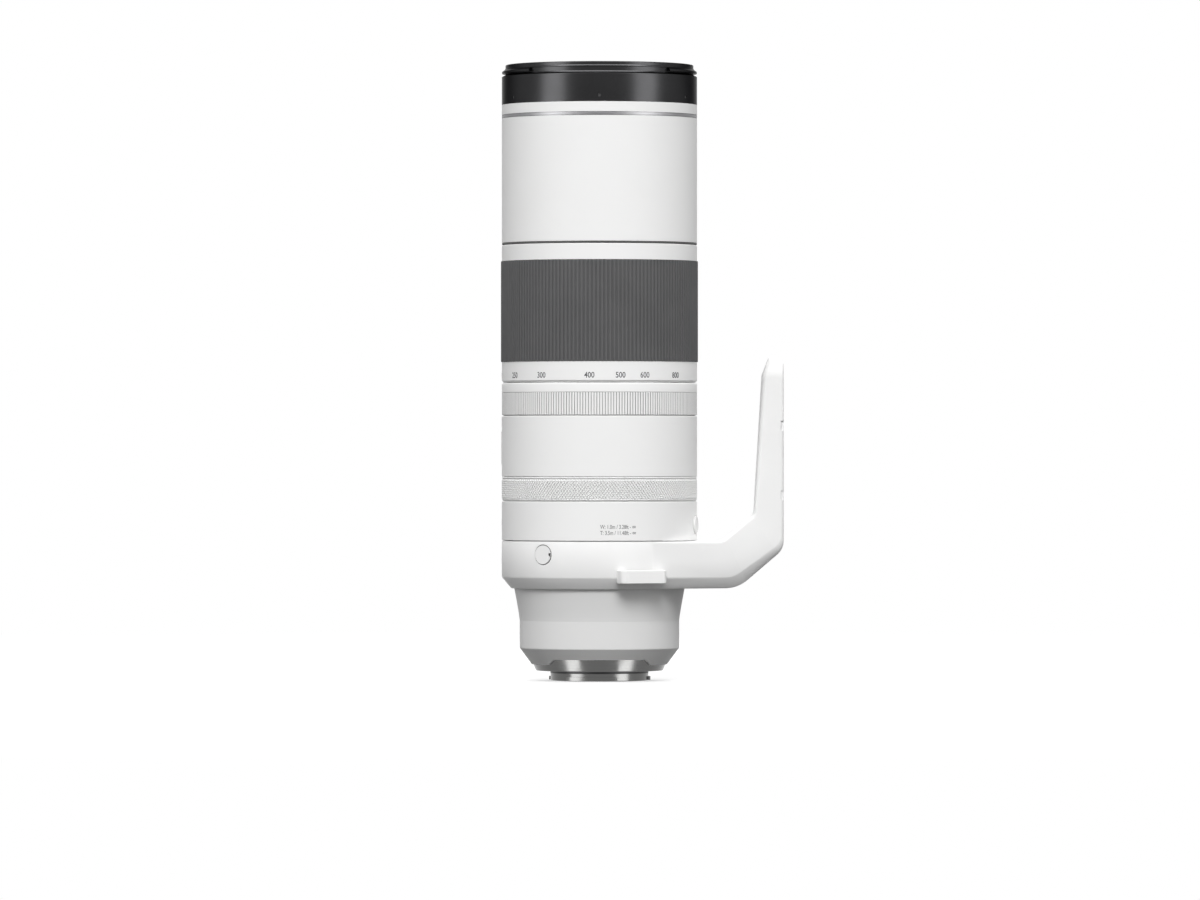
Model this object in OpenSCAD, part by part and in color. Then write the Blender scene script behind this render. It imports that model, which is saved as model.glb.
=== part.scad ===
/* [Barrel] */
// Outside diameter of the white barrel
barrel_d = 101.4; // [98:0.2:110]
// Wall of the rear and front barrel shells
shell_t = 2.0; // [1.7:0.1:2.4]
// Wall of the focus ring and of the tension ring
ring_t = 1.2; // [1:0.1:1.6]
// Wall of the sleeves that those two rings turn on
sleeve_t = 1.0; // [0.8:0.1:1.4]
// Wall of the cam barrel
cam_t = 1.2; // [0.9:0.1:1.6]
// Wall of the guide barrel
guide_t = 1.2; // [0.9:0.1:1.6]
// Wall of the extension tube
tube_t = 1.6; // [1.2:0.1:2.2]
// Clearance between pieces that move on each other
run_gap = 0.3; // [0.25:0.05:0.4]
// Clearance round a piece that is fixed in another
seat_gap = 0.15; // [0.1:0.01:0.2]

/* [Lengths along the axis] */
// Flange plane to the tripod collar
rear_len = 42.4; // [41:0.2:60]
// Seat of the tripod collar
collar_len = 25.2; // [24:0.2:36]
// Rear barrel, between the collar and the focus ring
rear_barrel_len = 20.2; // [19:0.2:30]
// Focus ring
focus_len = 12.8; // [8:0.2:20]
// Main barrel, with the switch panel
main_len = 31.4; // [28:0.2:50]
// Tension ring
tension_len = 17.2; // [14:0.2:26]
// Zoom ring
zoom_len = 71.6; // [66:0.2:90]
// Front barrel
front_len = 65.5; // [60:0.5:90]
// Silver trim ring
trim_len = 2; // [1:0.1:5]
// White band behind the filter ring
name_len = 5.1; // [3:0.1:9]
// Black filter ring
filter_len = 20.7; // [19:0.1:28]

/* [Zoom] */
// Travel of the front group from the short end to the long end
zoom_travel = 90; // [70:1:94]
// Travel of the variator carriage
carriage_travel = 22; // [16:0.5:24]
// Turn of the zoom ring, in degrees
zoom_turn = 141; // [120:1:150]
// Diameter of the cam followers
follower_d = 5; // [4:0.1:6]
// Height of the rubber above the barrel
grip_proud = 0.45; // [0.2:0.05:1]
// Thickness of the rubber where it lies in the ring
grip_t = 1.2; // [1:0.05:1.6]
// Length of the rubber grip
grip_len = 52.4; // [40:0.2:54]
// Width of the scale band below the rubber
scale_len = 10.8; // [9:0.2:16]
// Ribs round the rubber grip
grip_ribs = 152; // [100:1:180]
// Ribs round the tension ring
tension_ribs = 138; // [90:1:160]
// Length of the ribs of the tension ring
tension_rib_len = 12; // [8:0.2:13]

/* [Rear mount] */
// Clear diameter of the mount's throat
throat_d = 47.2; // [44:0.2:49]
// Wall of the bayonet tube
bayonet_t = 1.8; // [1.4:0.1:2.2]
// Height of the bayonet below the flange plane
bayonet_len = 5.1; // [4.6:0.1:7]
// Reach of a bayonet lug past its tube
lug_reach = 1.2; // [0.8:0.1:1.6]
// Outside diameter of the metal flange at its plane
flange_d = 66; // [64:0.2:72]
// Thickness of the metal flange
flange_t = 6.5; // [5:0.1:8]
// Distance of the mount screws from the flange's edge
screw_inset = 3.7; // [3.4:0.1:4.4]
// Diameter of the mount screws
screw_d = 2; // [1.6:0.1:2.4]
// Width of the rear housing's bevelled tail round the flange
tail_w = 8.4; // [7.8:0.1:9.6]
// Wall of the rear housing and of the neck that the collar turns on
neck_t = 1.8; // [1.4:0.1:2.2]
// Thickness of the rear housing's floor
floor_t = 4; // [3.6:0.1:6]

/* [Tripod collar and foot] */
// Wall of the tripod collar
collar_t = 3.7; // [3.4:0.1:4.4]
// Thickness of the collar's liners
liner_t = 2.35; // [1.8:0.05:2.6]
// Clear space between the barrel and the foot
foot_gap = 29.4; // [25:0.2:40]
// Thickness of the foot at its arm end
foot_t = 15.3; // [14:0.1:20]
// Thickness of the foot near its free end
foot_tip_t = 11; // [9:0.1:13]
// Width of the foot
foot_w = 32; // [28:0.5:44]
// Height of the foot's free end above the collar's top
foot_len = 95.6; // [85:0.2:110]
// Depth of the bevel below the collar and the arm
bevel_h = 5.9; // [4:0.1:7]
// Core diameter of the large tripod thread
large_thread_d = 8; // [7.8:0.1:9]
// Core diameter of the small tripod thread
small_thread_d = 5.2; // [5:0.1:6]
// Height of the lower tripod thread above the collar's top
thread_up = 23.7; // [20:0.1:30]
// Distance between the two tripod threads
thread_pitch = 36; // [30:0.5:44]
// Depth of the tripod threads
thread_depth = 11; // [9:0.2:12]
// Diameter of the lock knob
knob_d = 19; // [16:0.5:22]
// Height of the lock knob
knob_h = 10; // [7:0.2:14]
// Width of a strap lug
lug_w = 26; // [22:0.5:30]
// Height of a strap lug
lug_h = 7; // [5:0.1:9]
// Diameter of a collar cap
cap_d = 9.7; // [8:0.1:11]

/* [Buttons and switches] */
// Diameter of a function button
button_d = 9; // [7:0.1:10]
// Height of a button above the barrel
button_proud = 0.9; // [0.8:0.05:1.6]
// Travel of a button
button_travel = 0.7; // [0.4:0.05:0.7]
// Half width of the switch panel, in degrees
panel_half = 34; // [30:1:38]
// Height of the switch panel
panel_h = 17; // [15:0.2:22]
// Height of the switch panel above the barrel
panel_proud = 0.7; // [0.4:0.05:1.2]
// Travel of a switch
switch_travel = 4; // [3:0.1:5]
// Width of a switch
switch_w = 4.6; // [3.6:0.1:6]

/* [Optics] */
// Wall of the front cell round the front lens
front_cell_t = 2.4; // [2.1:0.1:3]
// Wall of the filter ring's lip round the filter thread
filter_wall = 1.8; // [1.5:0.1:2]
// Radius of the rear lenses
rear_lens_r = 20; // [18:0.5:20]
// Diameter of the variator carriage's tube
core_d = 62; // [60:0.5:66]
// Wall of that tube
core_t = 3.5; // [3:0.1:4]
// Travel of the focus group
focus_travel = 14; // [10:0.5:15]
// Travel of the stabilizer, each way
shake_travel = 0.8; // [0.4:0.1:0.9]

/* [Hidden] */
$fn = 180;

// Radii of the concentric barrels, from the outside in
barrel_r = barrel_d/2;
ring_ri = barrel_r - ring_t;
sleeve_ro = ring_ri - run_gap;
sleeve_ri = sleeve_ro - sleeve_t;
cam_ro = sleeve_ri - run_gap;
cam_ri = cam_ro - cam_t;
guide_ro = cam_ri - run_gap;
guide_ri = guide_ro - guide_t;
tube_ro = guide_ri - run_gap;
tube_ri = tube_ro - tube_t;
shell_ri = barrel_r - shell_t;
collar_ri = barrel_r - collar_t;
liner_ro = collar_ri - run_gap;
neck_ro = liner_ro - liner_t - seat_gap;
neck_ri = neck_ro - neck_t;
throat_r = throat_d/2;
bayonet_ro = throat_r + bayonet_t;
flange_r = flange_d/2;
screw_at = flange_r - screw_inset;
rear_r = flange_r + tail_w;
core_ro = core_d/2;
core_ri = core_ro - core_t;
front_cell_ro = shell_ri - seat_gap - 0.2;
front_lens_r = front_cell_ro - front_cell_t - seat_gap;
filter_neck_r = barrel_r - 1.9;
filter_thread_r = filter_neck_r - filter_wall;

// Heights of the joints between the rings
z_collar = rear_len;
z_rear_barrel = z_collar + collar_len;
z_focus = z_rear_barrel + rear_barrel_len;
z_main = z_focus + focus_len;
z_tension = z_main + main_len;
z_zoom = z_tension + tension_len;
z_front = z_zoom + zoom_len;
z_trim = z_front + front_len;
z_name = z_trim + trim_len;
z_filter = z_name + name_len;
z_top = z_filter + filter_len;

// Rear mount: the skirt hangs below the housing's floor round the flange
skirt_z = flange_t/2;
skirt_t = 0.6;
flange_slope = 0.42;
z_floor = flange_t + floor_t;
tail_z = z_floor + 1.1;
flare_z = z_collar - 16.4;
board_t = 1.6;
z_board = z_collar - 4.9;
cutout_half = 48;
cutout_slant = 9;
edge = 0.3;
claw_az = [20, 140, 260];
claw_half = 30;
claw_low = 0.2;
claw_t = 1.9;
index_az = 200;
index_r = 1.6;
seal_groove = [screw_at + screw_d/2 + 1.1, flange_r - 0.4];
seal_t = 0.8;
seal_play = 0.1;
pin_count = 12;
pin_step = 7.6;
pin_r = 0.5;
block_half = 52;
block_t = 2.9;
block_top = 2.4;
baffle_z = 3;
baffle_t = 1.2;
window_r = throat_r - 2.2;
window_az = 37.4;
floor_gap = 0.9;
flare_steps = 8;
flare_power = 1.15;
function flare_at(z) =
    rear_r + (neck_ro - rear_r)*pow((z - flare_z)/(z_collar - flare_z), flare_power);
board_seat = 1.5;
board_hole_r = flare_at(z_board) - neck_t;
rear_ri = min(rear_r - neck_t, board_hole_r - board_seat);

// Collar: a lip below holds the collar behind the retainer
lip_h = 3.7;
liner_h = 4;
z_collar_low = z_collar + run_gap;
z_collar_high = z_rear_barrel - run_gap;
z_retainer = z_collar_low + lip_h + run_gap;
retainer_h = 2;
bevel_in = 4.7;

// Guide barrel and cam barrel
base_t = 2;
z_base = z_rear_barrel + base_t;
z_guide_top = z_front - 1.8;
z_cam_low = z_focus - 3.8;
z_cam_high = z_guide_top - 0.7;
slot_w = follower_d + 2*run_gap;
end_extra = 0.05;
front_az = 30;
carriage_az = 90;
z_follower = z_guide_top - zoom_travel - 15;
z_carriage = z_cam_low + 6;
tube_low = z_follower - 5;
lip_front = 1.3;
ring_bevel = 1;

// Front assembly
flange_front_t = 3;
z_flange = z_trim - 5.3;
z_cell = z_flange + flange_front_t;
z_cell_top = z_filter + 9.6;
z_ledge = z_cell_top + run_gap;
ledge_h = 1;
z_lens_edge = z_cell_top - 5;
lens_edge = 3;
seat_drop = 0.15;
doublet_z = z_cell - 13.6;
doublet_r = tube_ri - 1.8;
thread_len = 5.6;
hood_len = 6;
hood_lug_half = 44;
mark_az = [0, 61.7, -61.7, 180, 118.3, -118.3];
mark_r = 0.9;

// Foot outline, from the reach of its outer face
foot_x = barrel_r + foot_gap + foot_t;
arm_slope = 40.5;
arm_rise = 20.4;
crook_rise = 13.9;
tip_rise = 9.4;
tip_in = 3.6;

// Angles round the axis, with the foot at 0 and the top of the lens at 180
cap_az = [235, 125];
lug_az = [294.8, 65.2];
button_az = [348, 90];
panel_az = 140;
switch_az = [124, 156];

// Points along an arc about [cx, cy]
function arc(cx, cy, r, a0, a1, n) =
    [for (i = [0:n]) let (a = a0 + (a1 - a0)*i/n) [cx + r*cos(a), cy + r*sin(a)]];

// The corner at p between a and b, as an arc of radius r
function corner(a, p, b, r, n) =
    r <= 0 ? [p] :
    let (u = (a - p)/norm(a - p), v = (b - p)/norm(b - p))
    let (half = acos(u*v)/2, s = p + u*r/tan(half), e = p + v*r/tan(half))
    let (c = p + (u + v)/norm(u + v)*r/sin(half))
    let (a0 = atan2(s[1] - c[1], s[0] - c[0]), a1 = atan2(e[1] - c[1], e[0] - c[0]))
    let (turn = (a1 - a0 + 540) % 360 - 180)
    arc(c[0], c[1], r, a0, a0 + turn, n);

// An outline of [x, y, radius] corners with every corner rounded
function rounded(pts, n = 6) =
    [for (i = [0:len(pts) - 1])
        let (k = len(pts), a = pts[(i + k - 1) % k], p = pts[i], b = pts[(i + 1) % k])
        each corner([a[0], a[1]], [p[0], p[1]], [b[0], b[1]], p[2], n)];

// Points of a spherical lens face, from the axis to the rim
function lens_face(r, z, sag, n = 10) =
    let (ball = sag == 0 ? 0 : (r*r + sag*sag)/(2*abs(sag)))
    [for (i = [0:n])
        let (x = r*i/n)
        [x, sag == 0 ? z : z + sag - sign(sag)*(ball - sqrt(ball*ball - x*x))]];

function reversed(list) = [for (i = [len(list) - 1:-1:0]) list[i]];

// Outline of a ring with n straight ribs
function ribbed(r_low, r_high, n) =
    [for (i = [0:n - 1]) for (c = [[0, r_low], [0.32, r_low], [0.46, r_high], [0.86, r_high]])
        let (a = 360*(i + c[0])/n) [c[1]*cos(a), c[1]*sin(a)]];

// A lens with a flat rim from z0 to z1 and two spherical faces
module lens(r, z0, z1, sag0, sag1)
    rotate_extrude() polygon(concat(lens_face(r, z0, sag0), reversed(lens_face(r, z1, sag1))));

// A plain ring
module ring(r0, r1, z0, z1, sides = $fn)
    rotate_extrude($fn = sides) translate([r0, z0]) square([r1 - r0, z1 - z0]);

// A part of a ring, centred on the angle az
module ring_part(r0, r1, z0, z1, az, half)
    rotate([0, 0, az - half]) rotate_extrude(angle = 2*half)
        translate([r0, z0]) square([r1 - r0, z1 - z0]);

// Turns a child's Z axis outward along the radius at az and height z
module radial(az, z)
    rotate([0, 0, az]) translate([0, 0, z]) rotate([0, 90, 0]) children();

// A radial cylinder from radius r0 to radius r1
module radial_pin(az, z, r, r0, r1)
    radial(az, z) translate([0, 0, r0]) cylinder(r = r, h = r1 - r0);

// A radial box: width round the barrel, height along it
module radial_box(az, z0, z1, r0, r1, w)
    rotate([0, 0, az]) translate([r0, -w/2, z0]) cube([r1 - r0, w, z1 - z0]);

// A straight slot through a barrel wall, parallel to the axis
module straight_slot(az, z0, z1, r0, r1) {
    radial_box(az, z0, z1, r0, r1, slot_w);
    for (z = [z0, z1]) radial_pin(az, z, slot_w/2 + end_extra, r0, r1);
}

// A slot that climbs round a barrel wall, from (az, z0) to (az + zoom_turn, z0 + rise)
module helical_slot(az, z0, rise, r0, r1, steps = 36) {
    mid = (r0 + r1)/2;
    per_deg = mid*PI/180;
    pitch = atan(rise/(zoom_turn*per_deg));
    da = slot_w/2*sin(pitch)/per_deg;
    dz = slot_w/2*cos(pitch);
    corners = [[r0, da, -dz], [r1, da, -dz], [r1, -da, dz], [r0, -da, dz]];
    pts = [for (i = [0:steps]) for (c = corners)
        let (a = az + zoom_turn*i/steps + c[1])
        [c[0]*cos(a), c[0]*sin(a), z0 + rise*i/steps + c[2]]];
    sides = [for (i = [0:steps - 1]) for (j = [0:3])
        let (p = 4*i + j, q = 4*i + (j + 1) % 4) each [[p, q + 4, p + 4], [p, q, q + 4]]];
    last = 4*steps;
    polyhedron(pts, concat([[0, 2, 1], [0, 3, 2]], sides,
        [[last, last + 1, last + 2], [last, last + 2, last + 3]]));
    radial_pin(az, z0, slot_w/2 + end_extra, r0, r1);
    radial_pin(az + zoom_turn, z0 + rise, slot_w/2 + end_extra, r0, r1);
}

// Outside radius of the metal flange at height z
function flange_at(z) = flange_r + flange_slope*z;

// Metal bayonet mount with three lugs and a groove for its seal
module mount_ring() color("silver") difference() {
    union() {
        rotate_extrude() polygon([[throat_r, -bayonet_len], [bayonet_ro - edge, -bayonet_len],
            [bayonet_ro, edge - bayonet_len], [bayonet_ro, 0], [flange_r - edge, 0],
            [flange_r, edge], [flange_at(flange_t), flange_t], [throat_r, flange_t]]);
        for (a = claw_az)
            ring_part(bayonet_ro - edge, bayonet_ro + lug_reach, claw_low - bayonet_len,
                claw_low + claw_t - bayonet_len, a, claw_half);
    }
    ring(seal_groove[0], seal_groove[1], flange_t - seal_t, flange_t + 1);
    screw_places() {
        translate([0, 0, -1]) cylinder(d = screw_d + 2*seat_gap, h = flange_t + 2);
        translate([0, 0, -0.01])
            cylinder(d1 = 2*screw_d + 2*seat_gap, d2 = screw_d + 2*seat_gap, h = screw_d/2);
    }
    rotate([0, 0, index_az]) translate([screw_at, 0, -1]) cylinder(r = index_r, h = 4);
}

// The four places of the mount screws
module screw_places()
    for (a = [45:90:315]) rotate([0, 0, a]) translate([screw_at, 0, 0]) children();

// Four countersunk screws with cross recesses
module mount_screws() color("gray") screw_places() difference() {
    union() {
        translate([0, 0, 0.2]) cylinder(d = screw_d, h = z_floor - 1);
        translate([0, 0, 0.1]) cylinder(d1 = 2*screw_d - 0.2, d2 = screw_d, h = screw_d/2 - 0.1);
    }
    for (a = [0, 90]) rotate([0, 0, a]) translate([-1, -0.2, -1]) cube([2, 0.4, 1.6]);
}

// Rubber seal between the mount and the housing
module mount_seal() color("black")
    ring(seal_groove[0] + seal_play, seal_groove[1] - seal_play, flange_t - seal_t, flange_t);

// Black block that carries the lens's electrical contacts
module contact_block() color("dimgray") difference() {
    ring_part(throat_r - block_t, throat_r - seat_gap, claw_low - bayonet_len, block_top, 0,
        block_half);
    pin_places() translate([0, 0, -1]) cylinder(r = pin_r + 0.1, h = bayonet_len);
}

// The places of the contact pins, at the foot of the bayonet
module pin_places()
    for (i = [0:pin_count - 1]) rotate([0, 0, (i - (pin_count - 1)/2)*pin_step])
        translate([throat_r - block_t/2, 0, -bayonet_len]) children();

// Gold contact pins
module contact_pins() color("gold")
    pin_places() translate([0, 0, 0.1]) cylinder(r = pin_r, h = bayonet_len - 1.6);

// Baffle in the throat with a window the shape of the picture
module rear_baffle() color("black") difference() {
    union() {
        ring(0, throat_r - seat_gap, baffle_z, flange_t);
        ring(0, throat_r + floor_gap - 0.2, flange_t, flange_t + baffle_t);
    }
    ring(0, throat_r - baffle_t - seat_gap, baffle_z + baffle_t, flange_t + 2*baffle_t);
    translate([-window_r*cos(window_az), -window_r*sin(window_az), baffle_z - 1])
        cube([2*window_r*cos(window_az), 2*window_r*sin(window_az), baffle_t + 2]);
}

// Rear housing: skirt, floor, flared wall and the neck that the collar turns on
module rear_housing() color("whitesmoke") difference() {
    rotate_extrude() polygon(concat(
        [[flange_at(skirt_z) + seat_gap, skirt_z], [flange_at(skirt_z) + seat_gap + skirt_t, skirt_z],
         [rear_r - 0.1, tail_z], [rear_r, tail_z + 0.5], [rear_r, flare_z]],
        [for (i = [1:flare_steps])
            let (z = flare_z + (z_collar - flare_z)*i/flare_steps) [flare_at(z), z]],
        [[neck_ro, z_rear_barrel], [neck_ri, z_rear_barrel], [neck_ri, z_collar],
         [board_hole_r, z_board], [rear_ri, z_board], [rear_ri, z_floor + 2], [rear_ri - 2, z_floor],
         [throat_r + floor_gap, z_floor], [throat_r + floor_gap, flange_t],
         [flange_at(flange_t) + seat_gap, flange_t]]));
    for (a = [90, 270]) hull() {
        ring_part(flange_at(0), rear_r, skirt_z - 1, skirt_z, a, cutout_half);
        ring_part(flange_at(0), rear_r, flange_t - 0.4, flange_t - 0.3, a, cutout_half - cutout_slant);
    }
    screw_places() translate([0, 0, flange_t - 1])
        cylinder(d = screw_d + 2*seat_gap, h = floor_t + 0.6);
}

// Cell of the rear lens group, on the housing's floor
module rear_cell() color("black") {
    seat_r = rear_lens_r - 2;
    wall_r = rear_lens_r + rear_cell_t;
    rotate_extrude() polygon([[rear_lens_r, z_floor], [screw_at + 0.5, z_floor],
        [screw_at + 0.5, z_floor + 2], [wall_r, z_floor + 2], [wall_r, z_board - 1],
        [rear_lens_r, z_board - 1], [rear_lens_r, z_seat_high], [seat_r, z_seat_high],
        [seat_r, z_seat_low], [rear_lens_r, z_seat_low]]);
}
rear_cell_t = 2.4;
z_seat_low = z_floor + 7.8;
z_seat_high = z_board - 9.8;

// Two rear lenses, one on each side of the cell's land
module rear_lenses() color("lightblue") {
    lens(rear_lens_r - seat_gap, z_seat_low - 5, z_seat_low, -1.6, -2.2);
    lens(rear_lens_r - seat_gap, z_seat_high, z_seat_high + 4, 1.8, 2.6);
}

// Ring-shaped control board with its chips
module control_board() color("darkgreen") {
    board_ri = rear_lens_r + rear_cell_t + 2.1;
    ring(board_ri, board_hole_r - seat_gap, z_board, z_board + board_t);
    for (i = [0:7]) rotate([0, 0, 45*i + 10])
        translate([board_ri + 3.5, -3, z_board + board_t/2])
            cube([i % 3 == 0 ? 8 : 5, 6, board_t/2 + 1.2]);
}

// Threaded ring that keeps the collar on the neck
module collar_retainer() color("dimgray")
    ring(neck_ro + seat_gap, liner_ro, z_retainer, z_retainer + retainer_h);

// Two plastic rings that the collar turns on
module collar_liners() color("ivory")
    for (z = [z_retainer + retainer_h + 0.5, z_collar_high - liner_h - 0.5])
        ring(neck_ro + seat_gap, liner_ro, z, z + liner_h);

// Rear barrel with the two button holes
module rear_barrel() color("whitesmoke") difference() {
    rotate_extrude() polygon([[neck_ri + 0.2, z_rear_barrel], [barrel_r - 0.3, z_rear_barrel],
        [barrel_r, z_rear_barrel + 0.3], [barrel_r, z_focus - 0.3], [barrel_r - 0.3, z_focus],
        [sleeve_ro + seat_gap, z_focus], [sleeve_ro + seat_gap, z_focus - 2],
        [sleeve_ri + 0.4, z_focus - 2], [sleeve_ri + 0.4, z_base], [neck_ri + 0.2, z_base]]);
    for (a = button_az)
        radial_pin(a, z_button, button_d/2 + run_gap, guide_ro, barrel_r + 2);
}

// Main barrel with a sleeve at each end and a recess for the switch panel
module main_barrel() color("whitesmoke") difference() {
    rotate_extrude() polygon([[sleeve_ri, z_focus - 2], [sleeve_ro, z_focus - 2],
        [sleeve_ro, z_main], [barrel_r - 0.3, z_main], [barrel_r, z_main + 0.3],
        [barrel_r, z_tension - 0.3], [barrel_r - 0.3, z_tension], [sleeve_ro, z_tension],
        [sleeve_ro, z_zoom - run_gap/2], [sleeve_ri, z_zoom - run_gap/2]]);
    panel_shape(barrel_r - panel_seat, barrel_r + 2, seat_gap);
}

// Height of the middle of the switch panel
z_panel = z_main + main_len/2 - 0.8;
panel_seat = 0.7;

// The switch panel's block, grown by extra on its sides
module panel_shape(r0, r1, extra)
    ring_part(r0, r1, z_panel - panel_h/2 - extra, z_panel + panel_h/2 + extra, panel_az,
        panel_half + extra/barrel_r*180/PI);

// Guide barrel with a straight slot for each follower and a recess for the dust seal
module guide_barrel() color("gray") difference() {
    union() {
        ring(guide_ri, guide_ro, z_base, z_guide_top);
        ring(guide_ri, sleeve_ri + 0.4 - seat_gap, z_base, z_base + 0.8);
    }
    ring(guide_ri - 1, guide_ri + guide_t/2, z_guide_top - 2.5, z_guide_top + 1);
    for (k = [0:2]) {
        straight_slot(front_az + 120*k, z_follower, z_follower + zoom_travel,
            guide_ri - 1, guide_ro + 1);
        straight_slot(carriage_az + 120*k, z_carriage, z_carriage + carriage_travel,
            guide_ri - 1, guide_ro + 1);
    }
}

// Felt ring that wipes the extension tube
module dust_seal() color("black")
    ring(tube_ro + 0.2, guide_ri + guide_t/2 - seat_gap, z_guide_top - 2.5, z_guide_top - 0.1);

// Curved panel with a window for each switch
module switch_panel() color("whitesmoke") difference() {
    panel_shape(barrel_r - panel_seat + seat_gap, barrel_r + panel_proud, 0);
    for (a = switch_az)
        radial_box(a, z_window, z_window + switch_h + switch_travel + 2*run_gap,
            barrel_r - 3, barrel_r + 3, switch_w + 2*run_gap);
}

// Foot of a switch's window, and the height of a switch
switch_h = 4;
z_window = z_panel - switch_h/2 - switch_travel/2 - run_gap;

// A switch at the lower end of its window
module switch(az) color("silver") difference() {
    radial_box(az, z_window + run_gap, z_window + run_gap + switch_h,
        barrel_r - 0.35, barrel_r + panel_proud + 0.9, switch_w);
    for (k = [1:3])
        radial_box(az, z_window + run_gap + k*switch_h/4 - 0.2,
            z_window + run_gap + k*switch_h/4 + 0.2,
            barrel_r + panel_proud + 0.5, barrel_r + panel_proud + 2, switch_w + 1);
}

module focus_switch() switch(switch_az[0]);
module stabilizer_switch() switch(switch_az[1]);

// Zoom ring: scale band, seat of the rubber, front band and front lip
z_grip = z_zoom + scale_len;
module zoom_ring() color("whitesmoke") difference() {
    low = z_zoom + run_gap/2;
    high = z_front - run_gap/2;
    seat_r = barrel_r - grip_t;
    rotate_extrude() polygon([[sleeve_ri, low], [barrel_r - 1, low], [barrel_r, low + ring_bevel],
        [barrel_r, z_grip], [seat_r, z_grip], [seat_r, z_grip + grip_len],
        [barrel_r, z_grip + grip_len], [barrel_r, high - 0.4], [barrel_r - 0.4, high],
        [tube_ro + run_gap, high], [tube_ro + run_gap, high - lip_front],
        [sleeve_ri, high - lip_front]]);
    cam_screw_places() cylinder(r = cam_screw_r + seat_gap, h = 20);
}

// Where the cam barrel is screwed to the zoom ring, under the rubber
module cam_screw_places()
    for (k = [0:2]) radial(front_az + 20 + 120*k, z_grip + 5)
        translate([0, 0, cam_ri - 1]) children();
cam_screw_r = 1.2;

// Ribbed rubber sleeve
module zoom_grip() color("dimgray") difference() {
    translate([0, 0, z_grip + 0.05]) linear_extrude(height = grip_len - 0.1)
        polygon(ribbed(barrel_r + grip_proud - 0.5, barrel_r + grip_proud, grip_ribs));
    ring(0, barrel_r - grip_t + seat_gap, z_grip - 1, z_grip + grip_len + 1, 720);
}

// Cam barrel with three long slots and three short ones
module cam_barrel() color("goldenrod") difference() {
    ring(cam_ri, cam_ro, z_cam_low, z_cam_high);
    for (k = [0:2]) {
        helical_slot(front_az + 120*k, z_follower, zoom_travel, cam_ri - 1, cam_ro + 1);
        helical_slot(carriage_az + 120*k, z_carriage, carriage_travel, cam_ri - 1, cam_ro + 1);
    }
    cam_screw_places() cylinder(r = cam_screw_r + seat_gap, h = 20);
}

// Screws between the zoom ring and the cam barrel
module cam_screws() color("gray")
    cam_screw_places() translate([0, 0, 1.2])
        cylinder(r = cam_screw_r, h = barrel_r - grip_t - cam_ri - 0.4);

// White inner tube that comes out as the lens zooms
module extension_tube() color("whitesmoke") difference() {
    union() {
        ring(tube_ri, tube_ro, tube_low, z_cell);
        ring(tube_ri, shell_ri - seat_gap, z_flange, z_cell);
    }
    for (k = [0:2])
        radial_pin(front_az + 120*k, z_follower, follower_d/2 + seat_gap, tube_ri - 2, tube_ro + 2);
}

// Studs of the extension tube that run in the cam slots
module front_followers() color("ivory")
    for (k = [0:2])
        radial_pin(front_az + 120*k, z_follower, follower_d/2, tube_ri, cam_ro - 0.1);

// Front barrel, closed round the tube at its rear end
module front_barrel() color("whitesmoke")
    rotate_extrude() polygon([[tube_ro + seat_gap, z_front + run_gap/2],
        [barrel_r - 1, z_front + run_gap/2], [barrel_r, z_front + run_gap/2 + ring_bevel],
        [barrel_r, z_trim], [shell_ri, z_trim], [shell_ri, z_front + run_gap/2 + 2.2],
        [tube_ro + seat_gap, z_front + run_gap/2 + 2.2]]);

// Silver ring in front of the front barrel
module trim_ring() color("silver")
    rotate_extrude() polygon([[shell_ri, z_trim], [barrel_r - 0.15, z_trim],
        [barrel_r, z_trim + 0.15], [barrel_r, z_name - 0.15], [barrel_r - 0.15, z_name],
        [shell_ri, z_name]]);

// White band
module name_ring() color("whitesmoke") ring(shell_ri, barrel_r, z_name, z_filter);

// Black ring with the filter thread inside and the hood's bayonet outside
module filter_ring() color("black") {
    neck = filter_neck_r;
    thread_r = filter_thread_r;
    relief_r = thread_r + 0.5;
    z_hood = z_top - hood_len;
    difference() {
        rotate_extrude() polygon([[shell_ri, z_filter], [barrel_r, z_filter],
            [barrel_r, z_hood], [barrel_r - 0.4, z_hood + 0.4], [neck, z_hood + 1.1],
            [neck, z_top - 0.5], [neck - 0.6, z_top], [relief_r, z_top],
            [thread_r, z_top - 0.6], [thread_r, z_top - thread_len],
            [relief_r, z_top - thread_len], [relief_r, z_ledge + ledge_h],
            [front_lens_r + 0.6, z_ledge + ledge_h], [front_lens_r + 0.6, z_ledge],
            [shell_ri, z_ledge]]);
        for (a = mark_az)
            radial_pin(270 + a, z_filter + 3.2, mark_r, barrel_r - 0.3, barrel_r + 1);
    }
    for (a = [0, 180]) rotate([0, 0, a - hood_lug_half]) rotate_extrude(angle = 2*hood_lug_half)
        polygon([[neck - 0.5, z_hood + 1.5], [barrel_r - 0.1, z_hood + 1.5],
            [barrel_r - 0.1, z_hood + 2.4], [neck - 0.5, z_hood + 4]]);
}

// Cell of the front lenses, on the extension tube's flange
module front_cell() color("black") {
    land_r = front_lens_r - 1.4;
    rotate_extrude() polygon([[tube_ri - seat_gap, doublet_z - 2.4], [tube_ri - seat_gap, z_cell],
        [front_cell_ro, z_cell], [front_cell_ro, z_cell_top],
        [front_lens_r + seat_gap, z_cell_top], [front_lens_r + seat_gap, z_lens_edge],
        [land_r, z_lens_edge - seat_drop], [land_r, z_cell + 2],
        [doublet_r, z_cell + 2], [doublet_r, doublet_z], [doublet_r - 1.8, doublet_z - seat_drop],
        [doublet_r - 1.8, doublet_z - 2.4]]);
}

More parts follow.
